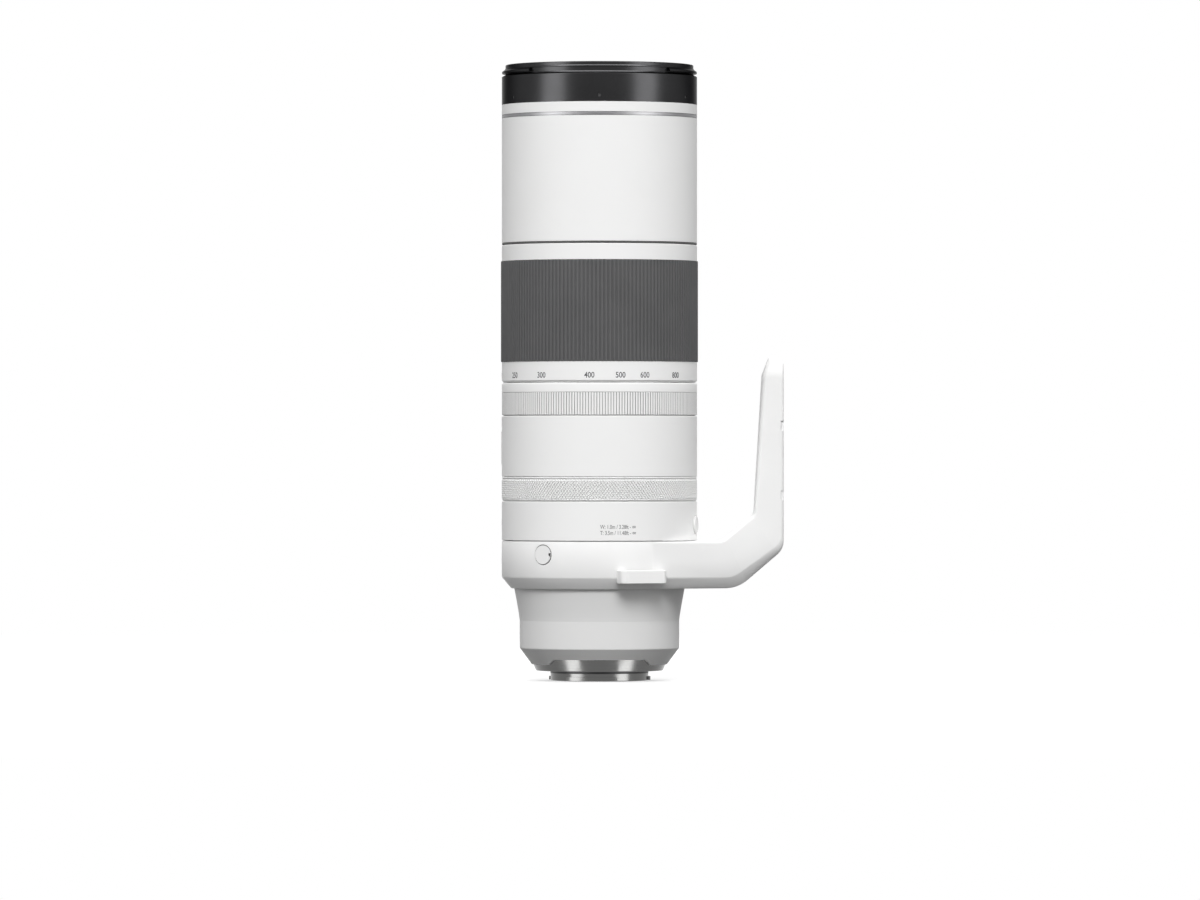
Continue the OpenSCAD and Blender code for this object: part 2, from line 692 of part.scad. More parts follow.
// Black ring that holds the front lens down
module front_retainer() color("black") {
    low = z_lens_edge + lens_edge + 0.5;
    high = z_top - thread_len - 0.2;
    out_r = filter_thread_r - 0.2;
    rotate_extrude() polygon([[front_lens_r - 1.2, low], [front_lens_r + 0.1, low],
        [front_lens_r + 0.1, z_ledge + ledge_h], [out_r, z_ledge + ledge_h], [out_r, high],
        [out_r - 0.5, high], [front_lens_r - 1.2, low + 0.7]]);
}

// Front lens and the doublet behind it
module front_lenses() color("lightsteelblue") {
    lens(front_lens_r, z_lens_edge, z_lens_edge + lens_edge, -1.8, 6);
    lens(doublet_r - seat_gap, doublet_z, doublet_z + 5, -1.2, 4);
}

// Tension ring: ribs below, a smooth band above
module tension_ring() color("whitesmoke") difference() {
    low = z_tension + run_gap/2;
    high = z_zoom - run_gap/2;
    union() {
        translate([0, 0, low]) linear_extrude(height = tension_rib_len)
            polygon(ribbed(barrel_r - 0.55, barrel_r - 0.05, tension_ribs));
        rotate_extrude($fn = 720) polygon([[0, low + tension_rib_len], [barrel_r, low + tension_rib_len],
            [barrel_r, high - 0.8], [barrel_r - 0.8, high], [0, high]]);
    }
    ring(0, ring_ri, low - 1, high + 1, 720);
}

// Focus ring, with a shallow seat for its diamond pattern
module focus_ring() color("whitesmoke")
    rotate_extrude() polygon([[ring_ri, z_focus + run_gap/2], [barrel_r - 0.3, z_focus + run_gap/2],
        [barrel_r, z_focus + run_gap/2 + 0.3], [barrel_r, z_main - run_gap/2 - 0.3],
        [barrel_r - 0.3, z_main - run_gap/2], [ring_ri, z_main - run_gap/2]]);

// Angle at which the arm's side meets the collar
arm_r = barrel_r - 0.35;
arm_in_x = foot_x - foot_t;
arm_reach = norm([arm_in_x, foot_w/2]);
arm_az = atan2(foot_w/2, arm_in_x) + acos(arm_r/arm_reach);

// Plan of the arm and the foot, drawn in by inset
module arm_plan(inset) {
    r = arm_r - inset;
    w = foot_w/2 - inset;
    polygon(rounded([[r*cos(arm_az), -r*sin(arm_az), 0], [arm_in_x, -w, 12],
        [foot_x - inset, -w, 4 - inset/2], [foot_x - inset, w, 4 - inset/2],
        [arm_in_x, w, 12], [r*cos(arm_az), r*sin(arm_az), 0]]));
}

// One convex part of that plan: the arm, which narrows, or the straight stretch under the foot
module arm_part(under_foot, inset) intersection() {
    arm_plan(inset);
    translate([under_foot ? arm_in_x - 0.1 : 0, -barrel_r])
        square([under_foot ? foot_t + 1 : arm_in_x, 2*barrel_r]);
}

// Side outline of the arm and the foot, as [x, z] corners
z_foot_top = z_collar_high + foot_len;
module foot_side() {
    t = tan(arm_slope);
    out_low = z_collar_low + 0.2;
    polygon(rounded([[0, out_low, 0],
        [foot_x - (arm_rise - 0.2)/t, out_low, 18],
        [foot_x, z_collar_low + arm_rise, 9.5],
        [foot_x, z_foot_top, 4.8],
        [foot_x - foot_tip_t + tip_in, z_foot_top, 2.6],
        [foot_x - foot_tip_t, z_foot_top - tip_rise, 10],
        [arm_in_x, z_collar_high + crook_rise, 5],
        [arm_in_x - crook_rise/t, z_collar_high, 6],
        [0, z_collar_high, 0]]));
}

// Heights of the two tripod threads
z_threads = [z_collar_high + thread_up, z_collar_high + thread_up + thread_pitch];
bush_t = 2.2;

// Cast collar with its arm, its foot and the boss of the lock knob
module tripod_collar() color("whitesmoke") difference() {
    union() {
        rotate_extrude() polygon([[0, z_collar_low], [barrel_r - bevel_in, z_collar_low],
            [barrel_r, z_collar_low + bevel_h], [barrel_r, z_collar_high - 0.4],
            [barrel_r - 0.4, z_collar_high], [0, z_collar_high]]);
        intersection() {
            translate([0, foot_w*2, 0]) rotate([90, 0, 0]) linear_extrude(height = foot_w*4)
                foot_side();
            union() {
                translate([0, 0, z_collar_low + bevel_h])
                    linear_extrude(height = foot_len + collar_len) arm_plan(0);
                for (under_foot = [false, true]) hull() {
                    translate([0, 0, z_collar_low]) linear_extrude(height = 0.2)
                        arm_part(under_foot, bevel_in);
                    translate([0, 0, z_collar_low + bevel_h]) linear_extrude(height = 1)
                        arm_part(under_foot, 0);
                }
            }
        }
        radial_pin(90, z_knob, knob_d/2 - 1.5, neck_ri, barrel_r + boss_h);
    }
    ring(0, neck_ro + run_gap, z_collar_low - 1, z_collar_low + lip_h);
    ring(0, collar_ri, z_collar_low + lip_h, z_collar_high + 1);
    radial_pin(90, z_knob, spindle_r + 0.1, neck_ri, barrel_r + boss_h + 1);
    for (a = cap_az) radial_pin(a, z_cap, cap_d/2 + seat_gap, barrel_r - cap_t, barrel_r + 1);
    translate([foot_x - thread_depth, 0, 0]) for (i = [0, 1]) translate([0, 0, z_threads[i]])
        rotate([0, 90, 0]) cylinder(r = bush_r(i) + 0.1, h = 30);
    for (z = z_threads) for (y = [-1, 1])
        translate([foot_x, y*foot_w/2, z]) cylinder(r = notch_r, h = 5, center = true);
}

// Radius of a bush: the small thread below, the large one above
function bush_r(i) = (i == 0 ? small_thread_d : large_thread_d)/2 + bush_t;
z_knob = z_collar + collar_len/2;
z_cap = z_collar_high - cap_d/2 - 1.95;
cap_t = 1.2;
boss_h = 2.5;
spindle_r = 3;
notch_r = 1.6;

// Steel bushes with the two tripod threads
module tripod_bushes() color("silver") for (i = [0, 1])
    translate([foot_x - thread_depth, 0, z_threads[i]]) rotate([0, 90, 0]) difference() {
        cylinder(r = bush_r(i), h = thread_depth);
        translate([0, 0, 1]) cylinder(r = bush_r(i) - bush_t, h = thread_depth);
    }

// Round caps over the collar's click stops, each with a notch to lift it
module collar_caps() color("whitesmoke") for (a = cap_az) difference() {
    radial_pin(a, z_cap, cap_d/2, barrel_r - cap_t, barrel_r + 0.2);
    rotate([0, 0, a]) translate([barrel_r - cap_t/2, cap_d/2 - 0.6, z_cap]) rotate([0, 90, 0])
        cylinder(r = 1, h = 3);
}

// Strap lugs: a bar that stands off the collar on two ends
module strap_lugs() color("whitesmoke") for (a = lug_az) difference() {
    rotate([0, 0, a]) translate([0, 0, z_lug]) linear_extrude(height = lug_h)
        polygon(rounded([[barrel_r - 6, -lug_w/2, 0], [barrel_r + lug_out, -lug_w/2, 3],
            [barrel_r + lug_out, lug_w/2, 3], [barrel_r - 6, lug_w/2, 0]]));
    ring(0, barrel_r + seat_gap, z_lug - 1, z_lug + lug_h + 1);
    rotate([0, 0, a > 180 ? -arm_az : arm_az]) translate([0, a > 180 ? 0 : -2*lug_w, z_lug - 1])
        cube([arm_r + seat_gap, 2*lug_w, lug_h + 2]);
    radial_box(a, z_lug - 1, z_lug + lug_h + 1, barrel_r - 8, barrel_r + strap_gap, lug_w - 8);
}
z_lug = z_collar_low + 3;
lug_out = 5.6;
strap_gap = 3.1;

// Lock knob with finger flutes, and its spindle
module lock_knob() color("dimgray") union() {
    low = barrel_r + boss_h + run_gap;
    flute_r = 1.8;
    difference() {
        radial(90, z_knob) translate([0, 0, low]) cylinder(d = knob_d, h = knob_h);
        for (i = [0:11]) radial(90, z_knob) rotate([0, 0, 30*i])
            translate([(knob_d + flute_r)/2, 0, low + 2]) cylinder(r = flute_r, h = knob_h);
    }
    radial_pin(90, z_knob, spindle_r, collar_ri + 0.2, low + 1);
}

// Function button with the flange that keeps it in the barrel
module function_button(az) color("lightgray") radial(az, z_button) rotate_extrude()
    polygon([[0, button_low], [button_d/2 + 0.6, button_low],
        [button_d/2 + 0.6, button_low + button_rim], [button_d/2, button_low + button_rim],
        [button_d/2, barrel_r + button_proud - 0.4], [button_d/2 - 0.4, barrel_r + button_proud],
        [0, barrel_r + button_proud]]);
button_low = guide_ro + run_gap + button_travel;
button_rim = 0.7;
z_button = z_rear_barrel + 8.2;
module function_button_1() function_button(button_az[0]);
module function_button_2() function_button(button_az[1]);

// Variator carriage, with heights from the plane of its followers
rim_ri = tube_ro - 2.3;
rim_half = 4.5;
web_half = 1.5;
rod_at = core_ri - 3.3;
rod_r = 1;
motor_at = core_ri - 4.9;
motor_r = 3.2;
motor_h = 6;
lead_screw_r = 0.8;
screw_hole_r = lead_screw_r + run_gap;
pivot_at = core_ri - 4.5;
pivot_r = 0.6;
plate_t = 2;
plate_ri = pivot_at - 3;
focus_cell_h = 9;
z_plate_b = z_carriage - 6;
z_plate_a = z_plate_b - plate_t - focus_travel - focus_cell_h - 3;
z_core_low = z_plate_a - 2;
z_plate_c = z_carriage + 3;
z_land = z_carriage + 12;

// Variator carriage: outer ring, web, tube and the plates inside it
module zoom_carriage() color("gray") difference() {
    union() {
        ring(rim_ri, tube_ro, z_carriage - rim_half, z_carriage + rim_half);
        ring(core_ro - 1, rim_ri + 1, z_carriage - web_half, z_carriage + web_half);
        ring(core_ri, core_ro, z_core_low, z_land + 12);
        for (z = [z_plate_a, z_plate_b, z_plate_c])
            ring(plate_ri, core_ri + 1, z, z + plate_t);
        ring(core_ri - 2, core_ri + 1, z_land, z_land + plate_t);
    }
    for (k = [0:5]) rotate([0, 0, 60*k]) translate([(core_ro + rim_ri)/2, 0, z_carriage - 3])
        cylinder(r = (rim_ri - core_ro)/2 - 1.6, h = 6);
    for (k = [0:2]) radial_pin(carriage_az + 120*k, z_carriage, follower_d/2 + seat_gap,
        rim_ri - 2, tube_ro + 2);
    for (a = [0, 180]) rotate([0, 0, a]) translate([rod_at, 0, z_plate_a - 1])
        cylinder(r = rod_r + 0.1, h = z_plate_b + plate_t - z_plate_a + 0.5);
    rotate([0, 0, 90]) translate([motor_at, 0, z_plate_b - 1]) cylinder(r = screw_hole_r, h = 4);
    for (i = [0:iris_blades - 1]) blade_pivot(i, z_plate_b - 1, pivot_r + 0.15, plate_t + 2);
}

// Studs of the carriage
module carriage_followers() color("ivory")
    for (k = [0:2])
        radial_pin(carriage_az + 120*k, z_carriage, follower_d/2, rim_ri + 0.1, cam_ro - 0.1);

// Large lens at the front of the carriage
module variator_lens() color("lightblue")
    lens(core_ri - seat_gap, z_land + plate_t, z_land + plate_t + 5, 1.5, 3.4);

// Two rods that the focus group slides on
module focus_rods() color("silver")
    for (a = [0, 180]) rotate([0, 0, a]) translate([rod_at, 0, z_plate_a + 0.2])
        cylinder(r = rod_r, h = z_plate_b + plate_t - z_plate_a - 1);

// Stepping motor with its lead screw, on the lower plate
module focus_motor() color("silver") rotate([0, 0, 90]) translate([motor_at, 0, 0]) {
    translate([0, 0, z_plate_a + plate_t]) cylinder(r = motor_r, h = motor_h);
    translate([0, 0, z_plate_a + plate_t + motor_h])
        cylinder(r = lead_screw_r, h = z_plate_b - z_plate_a - motor_h - 1.2);
}

// Cell of the focus lens with its two sleeves and the nut of the lead screw
z_focus_cell = z_plate_a + plate_t + 1 + focus_travel/2;
module focus_cell() color("black") difference() {
    union() {
        ring(focus_lens_r - 2, focus_cell_ro, z_focus_cell, z_focus_cell + focus_cell_h);
        for (a = [0, 180]) rotate([0, 0, a]) translate([arm_start, -2.5, z_focus_cell])
            cube([rod_at - arm_start + 2, 5, focus_cell_h]);
        rotate([0, 0, 90]) translate([arm_start, -2.2, z_focus_cell + focus_cell_h - 2.5])
            cube([motor_at - arm_start + 2, 4.4, 2.5]);
    }
    ring(0, focus_lens_r, z_focus_cell + 2, z_focus_cell + focus_cell_h + 1);
    for (a = [0, 180]) rotate([0, 0, a]) translate([rod_at, 0, z_focus_cell - 1])
        cylinder(r = rod_r + 0.1, h = focus_cell_h + 2);
    rotate([0, 0, 90]) translate([motor_at, 0, z_focus_cell])
        cylinder(r = screw_hole_r, h = focus_cell_h + 1);
}
focus_lens_r = 16.5;
focus_cell_ro = focus_lens_r + 2.5;
arm_start = focus_cell_ro - 0.8;

// Focus lens
module focus_lens() color("lightblue")
    lens(focus_lens_r - seat_gap, z_focus_cell + 2, z_focus_cell + 6, 0, -1.5);

// Sliding frame of the stabilizer, which moves along Y
slider_t = 4;
z_slider = z_plate_c + plate_t + run_gap;
module stabilizer_slider() color("gray") difference() {
    slider_ri = shake_hub_r + shake_travel + 0.5;
    slider_ro = core_ri - shake_travel - 0.5;
    ring(slider_ri, slider_ro, z_slider, z_slider + slider_t);
    for (a = [45:90:315]) rotate([0, 0, a]) translate([(slider_ri + slider_ro)/2, 0, z_slider - 1])
        cylinder(r = 1.2, h = slider_t + 2);
}

// Cell of the stabilizer lens, which moves along X on the frame
module stabilizer_cell() color("black") {
    z_brim = z_slider + slider_t + run_gap;
    brim_ro = core_ri - 3.5;
    rotate_extrude() polygon([[shake_lens_r - 1.5, z_slider], [shake_hub_r, z_slider],
        [shake_hub_r, z_brim], [brim_ro, z_brim], [brim_ro, z_brim + 1.4],
        [shake_lens_r, z_brim + 1.4], [shake_lens_r, z_slider + 0.8],
        [shake_lens_r - 1.5, z_slider + 0.8]]);
}
shake_lens_r = 15;
shake_hub_r = shake_lens_r + 4.2;

// Stabilizer lens
module stabilizer_lens() color("lightblue")
    lens(shake_lens_r - seat_gap, z_slider + 0.8, z_slider + 3.6, 0, 1.2);

// Pivot hole or pin of an iris blade
module blade_pivot(i, z, r, h) rotate([0, 0, 360/iris_blades*i + 20])
    translate([pivot_at, 0, z]) cylinder(r = r, h = h);

// An iris blade in its own layer above the middle plate, fully open
iris_blades = 7;
blade_t = 0.3;
blade_step = 0.4;
blade_out = pivot_at - 2.4;
blade_in = blade_out - 6.8;
blade_arc = 78;
z_blades = z_plate_b + plate_t + run_gap;
module iris_blade(i) color("dimgray") {
    z = z_blades + blade_step*i;
    rotate([0, 0, 360/iris_blades*i + 20]) translate([0, 0, z]) linear_extrude(height = blade_t) {
        polygon(concat(arc(0, 0, blade_out, -3, blade_arc, 12),
            reversed(arc(0, 0, blade_in, -3, blade_arc, 12))));
        translate([blade_out - 1, -1.2]) square([pivot_at - blade_out + 1, 2.4]);
        translate([pivot_at, 0]) circle(r = 1.2);
    }
    blade_pivot(i, z_plate_b + 0.5, pivot_r, z - z_plate_b);
}

// Ring that turns the blades
module iris_ring() color("silver") difference() {
    low = z_blades + blade_step*iris_blades + 0.2;
    ring(blade_out + 0.4, core_ri - run_gap, low, low + 1.4);
    for (i = [0:iris_blades - 1]) rotate([0, 0, 360/iris_blades*i + 45])
        translate([blade_out + 1.4, -0.6, low - 1]) cube([3.2, 1.2, 4]);
}

mount_ring();
mount_screws();
mount_seal();
contact_block();
contact_pins();
rear_baffle();
rear_housing();
rear_cell();
rear_lenses();
control_board();
collar_retainer();
collar_liners();
rear_barrel();
main_barrel();
guide_barrel();
dust_seal();
switch_panel();
zoom_ring();
zoom_grip();
cam_barrel();
cam_screws();
extension_tube();
front_barrel();
trim_ring();
name_ring();
filter_ring();
front_cell();
front_retainer();
front_lenses();
front_followers();
tension_ring();
focus_ring();
tripod_collar();
tripod_bushes();
collar_caps();
strap_lugs();
lock_knob();
focus_switch();
stabilizer_switch();
function_button_1();
function_button_2();
zoom_carriage();
carriage_followers();
variator_lens();
focus_rods();
focus_motor();
stabilizer_slider();
stabilizer_cell();
stabilizer_lens();
focus_cell();
focus_lens();
iris_ring();
for (i = [0:iris_blades - 1])
    iris_blade(i);
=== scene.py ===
from math import acos, atan2, cos, degrees, hypot, radians, sin, sqrt, tan

import bmesh
import bpy
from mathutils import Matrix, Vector


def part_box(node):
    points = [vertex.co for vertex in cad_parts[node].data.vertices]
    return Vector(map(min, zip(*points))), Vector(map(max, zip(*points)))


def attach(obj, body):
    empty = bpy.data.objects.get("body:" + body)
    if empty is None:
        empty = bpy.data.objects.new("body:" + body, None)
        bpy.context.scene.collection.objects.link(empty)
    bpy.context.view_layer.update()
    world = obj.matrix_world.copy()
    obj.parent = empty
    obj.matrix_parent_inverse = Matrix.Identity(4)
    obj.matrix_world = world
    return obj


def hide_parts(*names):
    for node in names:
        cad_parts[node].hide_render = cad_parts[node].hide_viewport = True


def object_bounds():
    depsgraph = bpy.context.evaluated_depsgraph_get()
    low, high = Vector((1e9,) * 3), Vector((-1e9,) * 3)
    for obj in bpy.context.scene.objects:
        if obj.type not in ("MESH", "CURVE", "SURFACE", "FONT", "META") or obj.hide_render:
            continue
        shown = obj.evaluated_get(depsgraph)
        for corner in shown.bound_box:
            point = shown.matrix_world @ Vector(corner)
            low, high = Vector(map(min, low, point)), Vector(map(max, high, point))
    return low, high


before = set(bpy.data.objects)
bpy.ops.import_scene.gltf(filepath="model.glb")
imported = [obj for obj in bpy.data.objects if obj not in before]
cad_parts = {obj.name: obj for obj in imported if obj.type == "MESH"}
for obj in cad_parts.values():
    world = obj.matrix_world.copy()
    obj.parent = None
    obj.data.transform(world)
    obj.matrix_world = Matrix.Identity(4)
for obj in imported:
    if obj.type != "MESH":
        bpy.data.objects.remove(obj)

MM = 0.001
cad_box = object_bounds()


# Places and sizes, read from the frame

def span(node):
    """Lowest height, highest height and outer radius of a node that is round the axis."""
    low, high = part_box(node)
    return low.z, high.z, high.x


BARREL_R = span("main_barrel")[2]
BAYONET_R = 25.4 * MM

# Azimuths in degrees: 0 is towards the foot. TOP_AZ is the lens's top when a camera carries it level.
FRONT_AZ = 270
TOP_AZ = 180
KNOB_AZ = 90
CAP_AZ = (235, 125)

# The collar: where it starts, height and depth of its bevel, radius of its caps and of their holes, and
# (height, radius) of its bushes
COLLAR_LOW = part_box("tripod_collar")[0].z
BEVEL_HIGH, BEVEL_IN = 5.9 * MM, 4.7 * MM
CAP_R, CAP_HOLE_R = 4.85 * MM, 5.3 * MM
BUSHES = ((COLLAR_LOW + 48.3 * MM, 4.8 * MM), (COLLAR_LOW + 84.3 * MM, 6.2 * MM))

# How thick printed marks are, half of it under the surface
PRINT_THICK = 0.08 * MM


# Materials: one function for each kind of finish, one line for each slot of the record

def object_place(tree):
    """Where a point is on its own piece, in metres."""
    return tree.nodes.new("ShaderNodeTexCoord").outputs["Object"]


def turned_place(tree):
    """Radius and height of a point about the lens's axis, so that a pattern runs round as lathe marks do."""
    split = tree.nodes.new("ShaderNodeSeparateXYZ")
    tree.links.new(object_place(tree), split.inputs[0])
    flat = tree.nodes.new("ShaderNodeCombineXYZ")
    tree.links.new(split.outputs["X"], flat.inputs["X"])
    tree.links.new(split.outputs["Y"], flat.inputs["Y"])
    radius = tree.nodes.new("ShaderNodeVectorMath")
    radius.operation = "LENGTH"
    tree.links.new(flat.outputs[0], radius.inputs[0])
    place = tree.nodes.new("ShaderNodeCombineXYZ")
    tree.links.new(radius.outputs["Value"], place.inputs["X"])
    tree.links.new(split.outputs["Z"], place.inputs["Z"])
    return place.outputs[0]


def noise(tree, place, size, detail=2.0):
    """Smooth random pattern whose marks are about that size, in metres."""
    node = tree.nodes.new("ShaderNodeTexNoise")
    node.inputs["Scale"].default_value = 1 / size
    node.inputs["Detail"].default_value = detail
    tree.links.new(place, node.inputs["Vector"])
    return node.outputs["Fac"]


def spread(tree, pattern, low, high):
    """The pattern as a number from low to high."""
    node = tree.nodes.new("ShaderNodeMapRange")
    node.inputs["From Min"].default_value = 0.3
    node.inputs["From Max"].default_value = 0.7
    node.inputs["To Min"].default_value = low
    node.inputs["To Max"].default_value = high
    tree.links.new(pattern, node.inputs["Value"])
    return node.outputs[0]


def tint(tree, pattern, dark, light):
    """The pattern as a colour from dark to light."""
    node = tree.nodes.new("ShaderNodeValToRGB")
    node.color_ramp.elements[0].position = 0.32
    node.color_ramp.elements[0].color = (*dark, 1)
    node.color_ramp.elements[1].position = 0.68
    node.color_ramp.elements[1].color = (*light, 1)
    tree.links.new(pattern, node.inputs[0])
    return node.outputs[0]


def bump(tree, pattern, depth):
    """Surface normal of that pattern, pressed depth metres deep."""
    node = tree.nodes.new("ShaderNodeBump")
    node.inputs["Distance"].default_value = depth
    tree.links.new(pattern, node.inputs["Height"])
    return node.outputs[0]


def new_material(name, **settings):
    """A material, its node tree and its shader. Settings name the shader's sockets, with _ for a space."""
    material = bpy.data.materials.new(name)
    material.use_nodes = True
    tree = material.node_tree
    shader = tree.nodes["Principled BSDF"]
    for socket, value in settings.items():
        shader.inputs[socket.replace("_", " ")].default_value = value
    return material, tree, shader


def shade(colour, share):
    """That colour at a share of its brightness."""
    return tuple(channel * share for channel in colour)


def grained(name, colour, rough, grain, depth, shift=0.04, **settings):
    """Paint, plastic, rubber or cast metal: fine grain, cloudy colour and roughness that wanders."""
    material, tree, shader = new_material(name, **settings)
    place = object_place(tree)
    cloud = noise(tree, place, 18 * MM, 4)
    fine = noise(tree, place, grain, 3)
    tree.links.new(tint(tree, cloud, shade(colour, 1 - shift), colour), shader.inputs["Base Color"])
    tree.links.new(spread(tree, fine, rough - 0.05, rough + 0.05), shader.inputs["Roughness"])
    tree.links.new(bump(tree, fine, depth), shader.inputs["Normal"])
    return material


def turned_metal(name, colour, rough, line, depth, shift=0.12, **settings):
    """Metal with fine lathe lines round the axis."""
    settings.setdefault("Metallic", 1.0)
    material, tree, shader = new_material(name, **settings)
    lines = noise(tree, turned_place(tree), line, 2)
    cloud = noise(tree, object_place(tree), 9 * MM, 3)
    tree.links.new(tint(tree, lines, shade(colour, 1 - shift), colour), shader.inputs["Base Color"])
    tree.links.new(spread(tree, cloud, rough - 0.05, rough + 0.06), shader.inputs["Roughness"])
    tree.links.new(bump(tree, lines, depth), shader.inputs["Normal"])
    return material


def coated_glass(name, straight, slanted, gloss):
    """Clear glass whose coating dims what it mirrors, and tints that and what shows through it."""
    material, tree, shader = new_material(name, Transmission_Weight=1.0, Roughness=0.0, IOR=1.5,
                                          Specular_IOR_Level=0.22, Specular_Tint=(*gloss, 1))
    angle = tree.nodes.new("ShaderNodeLayerWeight")
    tree.links.new(tint(tree, angle.outputs["Facing"], straight, slanted), shader.inputs["Base Color"])
    return material


WHITE = (0.80, 0.80, 0.797)
materials = {
    "white_shell": grained("shell_paint", WHITE, 0.62, 0.16 * MM, 0.003 * MM, 0.012, Specular_IOR_Level=0.12),
    "white_cast": grained("cast_paint", WHITE, 0.60, 0.30 * MM, 0.007 * MM, 0.02, Specular_IOR_Level=0.15),
    "white_metal": grained("metal_paint", WHITE, 0.55, 0.22 * MM, 0.003 * MM, 0.015, Specular_IOR_Level=0.15),
    "black_ring": grained("ring_black", (0.030, 0.030, 0.031), 0.28, 0.12 * MM, 0.002 * MM, 0.15,
                          Metallic=1.0, Specular_Tint=(0.4, 0.4, 0.4, 1)),
    "black_metal": turned_metal("anodised_black", (0.018, 0.018, 0.019), 0.42, 0.10 * MM, 0.004 * MM, 0.2,
                                Metallic=0.3),
    "black_plastic": grained("matt_black", (0.014, 0.014, 0.015), 0.55, 0.20 * MM, 0.010 * MM, 0.15),
    "inner_metal": turned_metal("inner_black", (0.035, 0.035, 0.037), 0.45, 0.12 * MM, 0.004 * MM, 0.2,
                                Metallic=0.5),
    "cam_metal": turned_metal("cam_aluminium", (0.30, 0.30, 0.31), 0.38, 0.14 * MM, 0.004 * MM),
    "trim_silver": turned_metal("trim_metal", (0.20, 0.20, 0.205), 0.42, 0.10 * MM, 0.002 * MM),
    "mount_metal": turned_metal("mount_chrome", (0.125, 0.125, 0.123), 0.20, 0.10 * MM, 0.002 * MM),
    "screw_steel": grained("screw_metal", (0.50, 0.49, 0.47), 0.30, 0.10 * MM, 0.002 * MM, 0.1, Metallic=1.0),
    "grip_rubber": grained("rubber", (0.112, 0.112, 0.114), 0.85, 0.14 * MM, 0.010 * MM, 0.08,
                           Specular_IOR_Level=0.08),
    "seal_rubber": grained("seal", (0.03, 0.03, 0.03), 0.6, 0.15 * MM, 0.008 * MM, 0.1),
    "seal_felt": grained("felt_strip", (0.03, 0.03, 0.035), 0.9, 0.25 * MM, 0.08 * MM, 0.3, Sheen_Weight=0.4),
    "liner_plastic": grained("acetal", (0.55, 0.54, 0.50), 0.5, 0.3 * MM, 0.004 * MM),
    "gold_contacts": grained("gold_plate", (0.90, 0.66, 0.28), 0.24, 0.1 * MM, 0.002 * MM, 0.06,
                             Metallic=1.0),
    "board": grained("circuit_board", (0.02, 0.16, 0.07), 0.4, 0.5 * MM, 0.004 * MM, 0.25),
    "switch_grey": grained("switch_plastic", (0.50, 0.50, 0.50), 0.45, 0.15 * MM, 0.004 * MM),
    "button_grey": grained("button_plastic", (0.66, 0.66, 0.655), 0.45, 0.15 * MM, 0.004 * MM, 0.02),
    "knob_black": grained("knob_plastic", (0.03, 0.03, 0.031), 0.5, 0.18 * MM, 0.008 * MM, 0.12),
    "blade_black": grained("blade_coat", (0.02, 0.02, 0.02), 0.5, 0.12 * MM, 0.003 * MM, 0.2),
    "lens_glass": coated_glass("inner_glass", (0.97, 0.98, 1.0), (0.80, 0.72, 0.95), (0.22, 0.14, 0.35)),
    "front_glass": coated_glass("front_coating", (0.96, 1.0, 0.98), (0.62, 0.52, 0.92), (0.12, 0.30, 0.24)),
}
print_ink = grained("print_ink", (0.045, 0.045, 0.05), 0.5, 0.12 * MM, 0.002 * MM, 0.15)
red_ink = grained("red_enamel", (0.55, 0.02, 0.02), 0.35, 0.12 * MM, 0.002 * MM, 0.1)

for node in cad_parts.values():
    for place in node.material_slots:
        place.material = materials[place.material.name.split(".")[0]]
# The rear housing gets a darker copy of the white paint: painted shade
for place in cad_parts["rear_housing"].material_slots:
    place.material = grained("housing_painted_shade", shade(WHITE, 0.84), 0.6, 0.2 * MM, 0.004 * MM, 0.015,
                             Specular_IOR_Level=0.12)


# Mesh helpers

def add_piece(name, verts, faces, slot, body, replaced=(), material=None, sharp=35):
    """A piece with that mesh that rides on that body."""
    mesh = bpy.data.meshes.new(name)
    mesh.from_pydata(verts, [], faces)
    return finish_piece(name, mesh, slot, body, replaced, material, sharp)


def face_out(mesh):
    """Turns all faces of a closed mesh outwards and welds what touches."""
    shape = bmesh.new()
    shape.from_mesh(mesh)
    bmesh.ops.remove_doubles(shape, verts=shape.verts, dist=0.001 * MM)
    bmesh.ops.recalc_face_normals(shape, faces=shape.faces)
    shape.to_mesh(mesh)
    shape.free()


def finish_piece(name, mesh, slot, body, replaced=(), material=None, sharp=35):
    """Makes a mesh a piece: faces outwards, smooth but for edges over sharp degrees, riding on its body.

    The material is its slot's, unless another is given.
    """
    face_out(mesh)
    mesh.materials.clear()
    mesh.materials.append(material or materials[slot])
    mesh.polygons.foreach_set("use_smooth", [True] * len(mesh.polygons))
    mesh.set_sharp_from_angle(angle=radians(sharp))
    piece = bpy.data.objects.new(name, mesh)
    bpy.context.scene.collection.objects.link(piece)
    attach(piece, body)
    if replaced:
        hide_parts(*replaced)
    return piece


def ring_faces(rows, columns, closed=True):
    """Quads of a grid that runs round along its rows, and if closed from its last row back to its first."""
    faces = []
    for row in range(rows if closed else rows - 1):
        above = (row + 1) % rows
        for column in range(columns):
            beside = (column + 1) % columns
            faces.append((row * columns + column, row * columns + beside,
                          above * columns + beside, above * columns + column))
    return faces


def on_circle(radius, angle, height):
    """The point at that radius, angle in degrees and height."""
    return radius * cos(radians(angle)), radius * sin(radians(angle)), height


def radial(radius, azimuth, height):
    return Vector(on_circle(radius, azimuth, height))


def around(sides):
    """Even steps all the way round, in degrees."""
    return [360 * side / sides for side in range(sides)]


def turned_loops(profile, sides):
    """Loops round the axis at each [radius, height]."""
    return [[on_circle(radius, turn, height) for turn in around(sides)] for radius, height in profile]


def loft(sections):
    """Closed mesh through loops of equal length, with a flat cap at its first and last."""
    columns = len(sections[0])
    verts = [point for section in sections for point in section]
    faces = ring_faces(len(sections), columns, closed=False)
    faces.append(list(range(columns)))
    faces.append(list(range(len(verts) - columns, len(verts))))
    return verts, faces


def append_shape(verts, faces, more_verts, more_faces):
    """Adds one shape's verts and faces to those of another."""
    start = len(verts)
    verts += more_verts
    faces += [[start + index for index in face] for face in more_faces]


